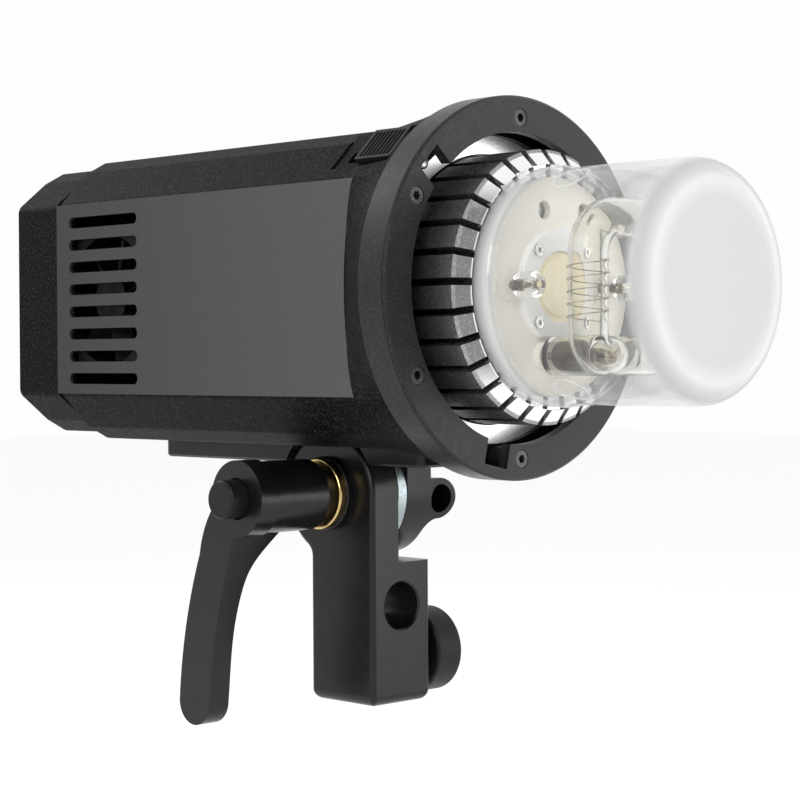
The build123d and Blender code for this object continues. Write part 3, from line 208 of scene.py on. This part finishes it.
# slot: darker colour, lighter colour, roughness, grain cells a metre, grain depth in metres
PLAIN = {
    "satin_black": ((0.0035, 0.0035, 0.0036), (0.006, 0.006, 0.0063), (0.26, 0.29), 1700.0, 0.000006),
    "button_black": ((0.006, 0.006, 0.0063), (0.009, 0.009, 0.0095), (0.4, 0.48), 2400.0, 0.00004),
    "key_grey": ((0.17, 0.17, 0.18), (0.2, 0.2, 0.21), (0.4, 0.5), 2400.0, 0.00004),
    "power_key": ((0.4, 0.4, 0.42), (0.46, 0.46, 0.48), (0.38, 0.48), 2400.0, 0.00004),
    "rubber": ((0.007, 0.007, 0.007), (0.011, 0.011, 0.011), (0.7, 0.85), 1900.0, 0.00008),
    "fan_black": ((0.004, 0.004, 0.004), (0.007, 0.007, 0.007), (0.5, 0.65), 1500.0, 0.00005),
    "black_screw": ((0.035, 0.035, 0.036), (0.07, 0.07, 0.072), (0.22, 0.32), 2600.0, 0.00003),
    "steel": ((0.42, 0.42, 0.43), (0.62, 0.62, 0.63), (0.2, 0.34), 1600.0, 0.00003),
    "spring_steel": ((0.4, 0.4, 0.42), (0.6, 0.6, 0.62), (0.2, 0.3), 2000.0, 0.00002),
    "electrode": ((0.3, 0.27, 0.22), (0.5, 0.46, 0.4), (0.2, 0.35), 2400.0, 0.00002),
    "reflector": ((0.86, 0.86, 0.87), (0.96, 0.96, 0.96), (0.26, 0.36), 1800.0, 0.000015),
    "cream": ((0.86, 0.83, 0.74), (0.89, 0.865, 0.79), (0.45, 0.6), 1600.0, 0.00004),
    "white": ((0.88, 0.88, 0.86), (0.92, 0.92, 0.91), (0.34, 0.46), 2000.0, 0.00003),
    "ceramic": ((0.8, 0.77, 0.7), (0.88, 0.86, 0.8), (0.5, 0.65), 1400.0, 0.00006),
    "phosphor": ((0.97, 0.87, 0.6), (1.0, 0.92, 0.7), (0.3, 0.45), 1800.0, 0.00005),
    "pcb": ((0.012, 0.09, 0.035), (0.02, 0.14, 0.06), (0.3, 0.42), 1500.0, 0.00005),
    "cap_sleeve": ((0.02, 0.024, 0.045), (0.03, 0.035, 0.06), (0.2, 0.3), 900.0, 0.00003),
    "copper": ((0.42, 0.17, 0.07), (0.62, 0.3, 0.13), (0.2, 0.36), 1700.0, 0.0001),
    "display": ((0.05, 0.07, 0.06), (0.07, 0.095, 0.08), (0.2, 0.3), 2200.0, 0.00001),
    "cell_wrap": ((0.06, 0.2, 0.36), (0.09, 0.26, 0.44), (0.25, 0.35), 900.0, 0.00003),
    "sensor_red": ((0.16, 0.01, 0.01), (0.24, 0.02, 0.02), (0.12, 0.2), 1500.0, 0.00002),
    "mark_white": ((0.6, 0.6, 0.6), (0.68, 0.68, 0.68), (0.5, 0.6), 2200.0, 0.00001),
}
# what some of them have besides
EXTRA = {
    "satin_black": {"specular": 0.3},
    "button_black": {"specular": 0.2},
    "rubber": {"specular": 0.15},
    "fan_black": {"specular": 0.15},
    "black_screw": {"metallic": 0.7},
    "steel": {"metallic": 1.0, "stretch": (0.2, 1, 1)},
    "spring_steel": {"metallic": 1.0},
    "electrode": {"metallic": 1.0, "cells": 300.0},
    "reflector": {"metallic": 0.9, "cells": 1500.0},
    "cream": {"specular": 0.4},
    "phosphor": {"cells": 260.0},
    "pcb": {"cells": 400.0},
    "copper": {"metallic": 0.9, "stretch": (1, 3, 1)},
    "display": {"cells": 500.0},
}


# ------------------------------------------------------------------ finishes of their own
def textured_black():
    """Spark-eroded plastic: pitted grain with tiny lighter crests."""
    made = Surface("textured_black", (0.005, 0.005, 0.005), 0.5, specular=0.04)
    grain = made.noise(1100.0, 2.0)
    made.color(made.blend(made.span(grain, 0.5, 0.68), (0.0025, 0.0025, 0.0026), (0.02, 0.02, 0.0205)))
    made.roughness(1200.0, 0.42, 0.54)
    made.bump(grain, 0.00014, 0.8)
    return made


def panel_grey():
    """Grey side panel, with painted shade that makes it darker towards the rear."""
    made = Surface("panel_grey", (0.05, 0.05, 0.052), 0.45, specular=0.2)
    # painted shade: both tones of the panel darken towards the rear
    painted_shade_toward_rear = made.span(made.axis("Y"), -0.04, 0.116)
    light = made.blend(painted_shade_toward_rear, (0.066, 0.067, 0.069), (0.03, 0.03, 0.0315))
    dark = made.blend(painted_shade_toward_rear, (0.058, 0.059, 0.061), (0.026, 0.026, 0.027))
    made.color(made.blend(made.span(made.noise(900.0, 3.0), 0.4, 0.62), light, dark))
    made.roughness(900.0, 0.42, 0.48)
    made.bump(made.noise(2600.0, 2.0), 0.00003, 0.6)
    return made


def ring_grey():
    """Painted ring with a fine peel, a dark line let in behind its front edge, and painted light that makes
    it lighter towards +X.
    """
    made = Surface("ring_grey", (0.02, 0.02, 0.02), 0.38, specular=0.2)
    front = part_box("bayonet_ring")[0][1]
    line = made.close_to(made.axis("Y"), front + 1.05 * MM, 0.26 * MM)
    # painted light: the ground colour runs from darker at -X to lighter at +X
    painted_light_x = made.span(made.axis("X"), -0.05, 0.05)
    peel = made.span(made.noise(1300.0, 2.0), 0.5, 0.68)
    ground = made.blend(painted_light_x, (0.013, 0.013, 0.0135), (0.036, 0.036, 0.037))
    paint = made.blend(peel, ground, (0.03, 0.03, 0.031))
    made.color(made.blend(line, paint, (0.001, 0.001, 0.001)))
    made.roughness(400.0, 0.3, 0.38)
    made.bump(made.noise(2200.0), 0.00004, 0.6)
    return made


def fin_grey():
    """Anodised fins: speckled sides with painted shade that darkens them towards the rear, and a machined
    front cone with a painted reflection that makes it bright above and below.
    """
    made = Surface("fin_grey", (0.1, 0.1, 0.102), 0.3, metallic=0.9)
    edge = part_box("fin_drum")[0][1]
    speck = made.span(made.noise(1500.0, 2.0), 0.52, 0.7)
    # painted shade: the fin sides darken towards the rear
    painted_shade_rear = made.span(made.axis("Y"), edge + 4 * MM, edge + 26 * MM)
    side = made.blend(speck, (0.3, 0.3, 0.305), (0.5, 0.5, 0.5))
    side = made.blend(painted_shade_rear, side, (0.05, 0.05, 0.052))
    # painted reflection: the front cone turns bright above and below the lamp's axis
    painted_reflection_off_axis = made.math("ABSOLUTE", made.math("SUBTRACT", made.axis("Z"), AXIS_Z))
    flank = made.blend(speck, (0.2, 0.2, 0.203), (0.34, 0.34, 0.345))
    face = made.blend(made.span(painted_reflection_off_axis, 0.023, 0.033), flank, (0.92, 0.92, 0.92))
    rim = made.span(made.axis("Y"), edge + 0.35 * MM, edge + 0.15 * MM)
    cone = made.span(made.axis("Y"), edge + 3.2 * MM, edge + 3.5 * MM)
    made.color(made.blend(cone, made.blend(rim, face, (0.8, 0.8, 0.8)), side))
    made.roughness(900.0, 0.26, 0.34)
    made.bump(made.noise(2400.0, 2.0), 0.000006, 0.5)
    return made


def brass():
    """Turned brass with a little tarnish."""
    made = Surface("brass", (0.75, 0.53, 0.22), 0.25, metallic=1.0)
    tarnish = made.span(made.noise(90.0, 4.0), 0.42, 0.7)
    made.color(made.blend(tarnish, (0.62, 0.46, 0.2), (0.46, 0.33, 0.14)))
    made.roughness(300.0, 0.16, 0.24)
    made.bump(made.rings(PIVOT, "X", 1400.0), 0.000006, 0.5)
    return made


def zinc():
    """Bluish zinc plate with turned rings."""
    made = Surface("zinc", (0.6, 0.65, 0.68), 0.32, metallic=1.0)
    patch = made.span(made.noise(160.0, 5.0), 0.4, 0.62)
    made.color(made.blend(patch, (0.3, 0.345, 0.36), (0.38, 0.43, 0.45)))
    made.roughness(700.0, 0.24, 0.42)
    made.bump(made.rings(PIVOT, "X", 900.0), 0.00002, 0.6)
    return made


# ------------------------------------------------------------------ glass
def glass(name, color, facing_on, facing_edge, rough):
    """Glass that shows more of itself where it is seen edge on."""
    made = Surface(name, color, rough, specular=0.7)
    cover = made.span(made.facing(0.32), 0.25, 1.0, facing_on, facing_edge)
    made.link(cover, made.shader.inputs["Alpha"])
    made.bump(made.noise(90.0, 2.0), 0.00003, 0.3)
    return made


def dome_glass():
    """Clear wall that turns frosted towards the front cap, and again in the rim at its base. The frosted
    cap has painted shading: lighter towards its shoulder and grey across its rounded bend.
    """
    made = Surface("dome_glass", (0.8, 0.81, 0.81), 0.04, specular=1.0)
    low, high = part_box("glass_dome")
    cap = made.span(made.axis("Y"), low[1] + 7.0 * MM, low[1] + 3.2 * MM)
    rim = made.span(made.axis("Y"), high[1] - 6.6 * MM, high[1] - 6.2 * MM)
    # distance from the lamp's axis
    flat = made.node("ShaderNodeCombineXYZ")
    made.link(made.axis("X"), flat.inputs["X"])
    made.link(made.math("SUBTRACT", made.axis("Z"), AXIS_Z), flat.inputs["Y"])
    reach = made.node("ShaderNodeVectorMath", operation="LENGTH")
    made.link(flat.outputs[0], reach.inputs[0])
    # painted shading on the frosted cap: lighter towards the shoulder, grey across the rounded bend
    painted_light_shoulder = made.span(reach.outputs["Value"], 0.0255, 0.0305)
    bend = made.span(reach.outputs["Value"], 0.0315, 0.0368)
    disc = made.blend(painted_light_shoulder, (0.58, 0.585, 0.585), (0.7, 0.7, 0.7))
    frost_and_painted_shade = made.blend(bend, disc, (0.4, 0.405, 0.41))
    made.color(made.blend(cap, (0.62, 0.63, 0.63), frost_and_painted_shade))
    clear = made.span(made.facing(0.3), 0.3, 1.0, 0.06, 0.6)
    cover = made.mix(cap, made.mix(rim, clear, 0.55), 0.86)
    made.link(cover, made.shader.inputs["Alpha"])
    made.link(made.span(cap, 0.0, 1.0, 0.03, 0.5), made.shader.inputs["Roughness"])
    made.bump(made.noise(90.0, 2.0), 0.00003, 0.3)
    return made


def tube_glass():
    """Clear blown glass that bends what is seen through it."""
    made = Surface("tube_glass", (0.97, 0.96, 0.93), 0.02, specular=0.6)
    made.shader.inputs["Transmission Weight"].default_value = 1.0
    made.shader.inputs["IOR"].default_value = 1.3
    tint = made.span(made.noise(60.0), 0.4, 0.6)
    made.color(made.blend(tint, (0.98, 0.975, 0.95), (0.94, 0.93, 0.89)))
    made.bump(made.noise(140.0, 2.0), 0.00006, 0.4)
    return made


def amber_glass():
    """Nearly black amber glass of the getter."""
    made = glass("amber_glass", (0.09, 0.045, 0.014), 0.86, 0.97, 0.12)
    cloud = made.span(made.noise(350.0), 0.4, 0.6)
    made.color(made.blend(cloud, (0.02, 0.012, 0.006), (0.09, 0.055, 0.025)))
    return made


def smoke_window():
    """Smoked window over the display."""
    made = mottled(
        "smoke_window", (0.012, 0.014, 0.014), (0.016, 0.018, 0.018), (0.05, 0.1), 500.0, 0.000005
    )
    made.shader.inputs["Alpha"].default_value = 0.45
    return made


def lcd_ink():
    """Figures that glow faintly."""
    made = mottled("lcd_ink", (0.55, 0.75, 0.72), (0.62, 0.82, 0.78), (0.4, 0.5), 2000.0, 0.00001)
    made.shader.inputs["Emission Color"].default_value = (0.55, 0.8, 0.76, 1)
    made.shader.inputs["Emission Strength"].default_value = 0.5
    return made


def make_materials():
    """One procedural material for each of the record's slots, and a few for Blender's own pieces."""
    made = {name: mottled(name, *finish, **EXTRA.get(name, {})) for name, finish in PLAIN.items()}
    made["clear_glass"] = glass("clear_glass", (0.8, 0.82, 0.82), 0.03, 0.5, 0.03)
    made["frosted_glass"] = glass("frosted_glass", (0.8, 0.81, 0.81), 0.3, 0.8, 0.3)
    own = (
        textured_black, panel_grey, ring_grey, fin_grey, brass, zinc,
        dome_glass, tube_glass, amber_glass, smoke_window, lcd_ink,
    )
    for finish in own:
        made[finish.__name__] = finish()
    return {name: surface.material for name, surface in made.items()}


# ------------------------------------------------------------------ mesh helpers
def new_piece(name, mesh, body, material):
    """A finished mesh as a piece that rides on a body."""
    piece = bpy.data.objects.new(name, mesh)
    bpy.context.scene.collection.objects.link(piece)
    mesh.materials.append(material)
    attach(piece, body)
    return piece


def lathe(name, profile, centre, steps):
    """Turns a profile of (y, radius) in millimetres about the Y axis through a centre."""
    bm = bmesh.new()
    loops = []
    for y, radius in profile:
        if radius < 1e-6:
            loops.append([bm.verts.new((centre[0], y * MM, centre[1]))])
            continue
        loops.append([
            bm.verts.new((
                centre[0] + radius * MM * cos(2 * pi * step / steps),
                y * MM,
                centre[1] + radius * MM * sin(2 * pi * step / steps),
            ))
            for step in range(steps)
        ])
    for first, second in zip(loops, loops[1:]):
        for step in range(steps):
            after = (step + 1) % steps
            ring = [first[step % len(first)], first[after % len(first)],
                    second[after % len(second)], second[step % len(second)]]
            face = bm.faces.new(list(dict.fromkeys(ring)))
            face.smooth = True
    bmesh.ops.recalc_face_normals(bm, faces=bm.faces)
    mesh = bpy.data.meshes.new(name)
    bm.to_mesh(mesh)
    bm.free()
    return mesh


def arc(centre_y, centre_r, radius, start, end, count=10):
    """Points of a profile along a quarter bend; angles in degrees from -Y towards +R."""
    return [
        (centre_y - radius * cos(radians(start + (end - start) * i / count)),
         centre_r + radius * sin(radians(start + (end - start) * i / count)))
        for i in range(count + 1)
    ]


def bevelled(bm, name, width):
    """Ends a mesh under construction with a small bevel, in millimetres, on every edge."""
    bmesh.ops.bevel(
        bm, geom=bm.edges[:], offset=width * MM, segments=2, affect="EDGES", clamp_overlap=True
    )
    mesh = bpy.data.meshes.new(name)
    bm.to_mesh(mesh)
    bm.free()
    return mesh


def bars(name, boxes):
    """Several small bevelled blocks in one mesh; each box is two corners in millimetres."""
    bm = bmesh.new()
    for low, high in boxes:
        size = [(b - a) * MM for a, b in zip(low, high)]
        centre = [(a + b) / 2 * MM for a, b in zip(low, high)]
        matrix = Matrix.Translation(centre) @ Matrix.Diagonal((*size, 1))
        bmesh.ops.create_cube(bm, size=1.0, matrix=matrix)
    return bevelled(bm, name, 0.05)


def wire(name, points, radius, body, material):
    """A smooth round wire through points in metres."""
    data = bpy.data.curves.new(name, "CURVE")
    data.dimensions = "3D"
    data.bevel_depth = radius
    data.bevel_resolution = 4
    data.resolution_u = 8
    line = data.splines.new("NURBS")
    line.points.add(len(points) - 1)
    for point, place in zip(line.points, points):
        point.co = (*place, 1)
    line.use_endpoint_u = True
    line.order_u = 3
    data.materials.append(material)
    piece = bpy.data.objects.new(name, data)
    bpy.context.scene.collection.objects.link(piece)
    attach(piece, body)
    return piece


# ------------------------------------------------------------------ CAD nodes
# width of the edge bevel in millimetres
BEVELS = {
    "tilt_lever": 0.8,
    "stand_bracket": 0.5,
    "mount_plate": 0.5,
    "slider_track": 0.3,
    "lock_slider": 0.3,
    "battery_case": 0.4,
    "battery_latch": 0.4,
    "brass_collar": 0.25,
}


def soften(node, width):
    """A narrow bevel on a CAD node's sharp edges."""
    weld = node.modifiers.new("weld", "WELD")
    weld.merge_threshold = 2e-6
    bevel = node.modifiers.new("bevel", "BEVEL")
    bevel.width = width * MM
    bevel.segments = 2
    bevel.limit_method = "ANGLE"
    bevel.angle_limit = radians(38)
    bevel.use_clamp_overlap = True
    even = node.modifiers.new("even", "WEIGHTED_NORMAL")
    even.keep_sharp = True
    even.weight = 80


def dress_cad(materials):
    """Gives every CAD node its slot's material, and some of them softened edges."""
    slots = {piece["node"]: piece["material_slot"] for piece in frame["record"]["subparts"]}
    for name, node in NODES.items():
        if not node.material_slots:
            node.data.materials.append(materials[slots[name]])
        for slot in node.material_slots:
            slot.material = materials[slots[name]]
        if name in BEVELS:
            soften(node, BEVELS[name])


# ------------------------------------------------------------------ lamp
# millimetres
DOME_WALL = 2.0
DOME_FOOT = 0.9         # how far the rim at the base stands out
DOME_BEND = 8.0
WINDOW_Y = -109.0
WINDOW_R = 6.0
WIRE_TURNS = 5
WIRE_COIL_R = 6.5
WIRE_INSET = 0.4        # of the coil from the ends of the CAD wire's box
RUN_DEPTH = 6.2         # of the tube's front run behind its foremost point
GETTER_X = -6.8
GETTER_DROP = 22.0      # below the lamp's axis


def make_dome(materials):
    """Hollow glass dome: frosted front cap, clear wall, frosted rim."""
    low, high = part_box("glass_dome")
    front, rear = low[1] / MM, high[1] / MM
    base = (high[0] - low[0]) / 2 / MM
    outer = base - DOME_FOOT
    bend_y, bend_r = front + DOME_BEND, outer - DOME_BEND
    profile = [(front, 0.0), *arc(bend_y, bend_r, DOME_BEND, 0, 90)]
    profile += [(front + 10.0 + 4.0 * step, outer) for step in range(10)]
    profile += [(rear - 6.6, outer), (rear - 6.0, base), (rear, base), (rear, outer - DOME_WALL)]
    profile += reversed(arc(bend_y, bend_r, DOME_BEND - DOME_WALL, 0, 90))
    profile.append((front + DOME_WALL, 0.0))
    mesh = lathe("dome", profile, (0, AXIS_Z), 128)
    glass_piece = new_piece("dome", mesh, "glass_dome", materials["dome_glass"])
    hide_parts("glass_dome")
    for turn in range(3):
        place_window(turn, radians(120 * turn), outer, materials["frosted_glass"])


def place_window(turn, angle, radius, material):
    """A round moulded rim that stands on the dome's wall."""
    steps = 24
    reach = (radius + 0.1) * MM
    points = []
    for step in range(steps + 1):
        around = 2 * pi * step / steps
        bend = angle + WINDOW_R * sin(around) / radius
        along = (WINDOW_Y + WINDOW_R * cos(around)) * MM
        points.append((reach * cos(bend), along, AXIS_Z + reach * sin(bend)))
    wire(f"dome_window_{turn}", points, 0.28 * MM, "glass_dome", material)


def helix(centre, radii, low_z, high_z, turns, steps):
    """Points of an upright helix with its own radius along X and along Y."""
    count = round(turns * steps)
    return [
        (
            centre[0] + radii[0] * cos(2 * pi * step / steps),
            centre[1] + radii[1] * sin(2 * pi * step / steps),
            low_z + (high_z - low_z) * step / count,
        )
        for step in range(count + 1)
    ]


def make_tube_details(materials):
    """Trigger wire wound on the tube's front run, its twisted end, and the dark getter in the lower leg."""
    low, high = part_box("trigger_wire")
    ends = (low[2] + WIRE_INSET * MM, high[2] - WIRE_INSET * MM)
    x = (low[0] + high[0]) / 2
    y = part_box("flash_tube")[0][1] + RUN_DEPTH * MM
    radius = WIRE_COIL_R * MM
    metal = materials["electrode"]
    points = helix((x, y), (radius, radius), *ends, WIRE_TURNS, 24)
    coil = wire("trigger_coil_wire", points, 0.18 * MM, "flash_tube", metal)
    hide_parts("trigger_wire")
    points = helix((x, y - radius), (0.5 * MM, 0.3 * MM), *ends, WIRE_TURNS, 6)
    wire("trigger_knot", points, 0.16 * MM, "flash_tube", metal)
    # domed front, straight wall, and a tail that narrows faster and faster
    profile = [(-107.0, 0.0), *arc(-102.2, 0.1, 4.8, 0, 90, 10), (-97.0, 4.9)]
    profile += [(-96.0 + 0.8 * step, 4.8 - 0.125 * step * step) for step in range(1, 5)]
    profile.append((-92.6, 0.0))
    mesh = lathe("getter", profile, (GETTER_X * MM, AXIS_Z - GETTER_DROP * MM), 40)
    new_piece("getter", mesh, "flash_tube", materials["amber_glass"])


# ------------------------------------------------------------------ rear details
SEGMENTS = {"0": "abcdef", "5": "afgcd"}
SEGMENT_GAP = 0.12       # millimetres
FIGURE_SIZE = (7.0, 13.0)


def digit_bars(figure, x, z, depth_y):
    """Boxes of one seven-segment figure; it starts at x and runs towards -X, the viewer's right."""
    width, height = FIGURE_SIZE
    thick = width * 0.16
    half = height / 2
    spots = {
        "a": ((0, height - thick), (width, height)),
        "b": ((width - thick, half), (width, height)),
        "c": ((width - thick, 0), (width, half)),
        "d": ((0, 0), (width, thick)),
        "e": ((0, 0), (thick, half)),
        "f": ((0, half), (thick, height)),
        "g": ((0, half - thick / 2), (width, half + thick / 2)),
    }
    made = []
    for segment in SEGMENTS[figure]:
        (x0, z0), (x1, z1) = spots[segment]
        low = (x - x1 + SEGMENT_GAP, depth_y[0], z + z0 + SEGMENT_GAP)
        high = (x - x0 - SEGMENT_GAP, depth_y[1], z + z1 - SEGMENT_GAP)
        made.append((low, high))
    return made


def bar_row(count, x, pitch, width, z, depth_y):
    """Boxes in a row towards -X; z is the row's lower and upper edge."""
    return [
        ((x - pitch * step - width, depth_y[0], z[0]), (x - pitch * step, depth_y[1], z[1]))
        for step in range(count)
    ]


def make_display(material):
    """Figures, a row of level bars and a battery gauge on the display."""
    low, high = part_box("lcd_window")
    mid = (low[2] + high[2]) / 2 / MM
    depth_y = (low[1] / MM - 0.75, low[1] / MM - 0.45)
    foot = mid - 6.0
    boxes = digit_bars("5", 12.0, foot, depth_y) + digit_bars("0", -1.5, foot, depth_y)
    boxes.append(((1.2, depth_y[0], foot), (2.6, depth_y[1], mid - 4.6)))
    boxes += bar_row(9, 24.0, 5.4, 3.6, (mid - 11.5, mid - 9.4), depth_y)
    boxes += bar_row(3, -18.0, 2.6, 1.8, (mid + 8.0, mid + 11.0), depth_y)
    new_piece("lcd_figures", bars("lcd_figures", boxes), "head", material)


def make_dial_scale(material):
    """Ticks round the dial, every third one longer."""
    low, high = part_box("control_dial")
    dial = middle("control_dial")
    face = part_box("rear_cap")[1][1]
    reach = (high[0] - low[0]) / 2 + 2.6 * MM
    bm = bmesh.new()
    for step in range(13):
        angle = radians(-60 + 25 * step)
        spot = Vector((dial.x, face, dial.z)) + Vector((cos(angle), 0, sin(angle))) * reach
        turn = Matrix.Rotation(-angle, 4, "Y")
        length = 1.4 if step % 3 else 2.24
        size = Matrix.Diagonal((length * MM, 0.24 * MM, 0.5 * MM, 1))
        bmesh.ops.create_cube(bm, size=1.0, matrix=Matrix.Translation(spot) @ turn @ size)
    new_piece("dial_scale", bevelled(bm, "dial_scale", 0.04), "head", material)


# ------------------------------------------------------------------ camera, light, floor
CAMERA_PLACE = (-0.50028, -0.52041, 0.11845)
CAMERA_YAW, CAMERA_PITCH, CAMERA_ROLL = radians(-44.722), radians(-1.096), radians(-0.28)
CAMERA_LENS = 92.9
FLOOR_HALF = 6.0
FLOOR_GAP = 0.16         # below the model, where the stand would hold it
LIGHT_TARGET = (0, -0.02, 0.12)


def make_camera():
    """The camera stands to the front left of the head, level with its lower edge."""
    data = bpy.data.cameras.new("camera")
    data.sensor_width = 36.0
    data.lens = CAMERA_LENS
    data.clip_start = 0.01
    camera = bpy.data.objects.new("camera", data)
    turn = Matrix.Rotation(CAMERA_YAW, 4, "Z") @ Matrix.Rotation(radians(90) + CAMERA_PITCH, 4, "X")
    turn = turn @ Matrix.Rotation(CAMERA_ROLL, 4, "Z")
    camera.matrix_world = Matrix.Translation(CAMERA_PLACE) @ turn
    bpy.context.scene.collection.objects.link(camera)
    bpy.context.scene.camera = camera


def area_light(name, place, size, power):
    """A soft rectangular light that faces the lamp's side of the model."""
    data = bpy.data.lights.new(name, "AREA")
    data.shape = "RECTANGLE"
    data.size, data.size_y = size
    data.energy = power
    lamp = bpy.data.objects.new(name, data)
    lamp.location = place
    lamp.rotation_euler = (Vector(LIGHT_TARGET) - Vector(place)).to_track_quat("-Z", "Y").to_euler()
    bpy.context.scene.collection.objects.link(lamp)


def make_stage():
    """Plain pale floor, white surroundings and soft studio lights."""
    world = bpy.data.worlds.new("studio")
    world.use_nodes = True
    world.node_tree.nodes["Background"].inputs["Color"].default_value = (1, 1, 1, 1)
    world.node_tree.nodes["Background"].inputs["Strength"].default_value = 0.985
    bpy.context.scene.world = world
    mesh = bpy.data.meshes.new("floor")
    half, low = FLOOR_HALF, CAD_BOX[0][2] - FLOOR_GAP
    corners = [(-half, -half, low), (half, -half, low), (half, half, low), (-half, half, low)]
    mesh.from_pydata(corners, [], [(0, 1, 2, 3)])
    floor = bpy.data.objects.new("floor", mesh)
    bpy.context.scene.collection.objects.link(floor)
    material = bpy.data.materials.new("floor")
    material.use_nodes = True
    shader = material.node_tree.nodes["Principled BSDF"]
    shader.inputs["Base Color"].default_value = (0.97, 0.97, 0.97, 1)
    shader.inputs["Roughness"].default_value = 0.9
    shader.inputs["Specular IOR Level"].default_value = 0.0
    mesh.materials.append(material)
    area_light("key", (-1.2, -0.6, 0.7), (0.6, 0.6), 6)
    area_light("front", (0.75, -1.0, 0.22), (0.3, 0.7), 2.6)
    area_light("rear", (-0.4, 1.2, 0.9), (0.8, 0.8), 5)


bpy.context.scene.view_settings.view_transform = "Standard"
MATERIALS = make_materials()
dress_cad(MATERIALS)
make_dome(MATERIALS)
make_tube_details(MATERIALS)
make_display(MATERIALS["lcd_ink"])
make_dial_scale(MATERIALS["mark_white"])
make_camera()
make_stage()
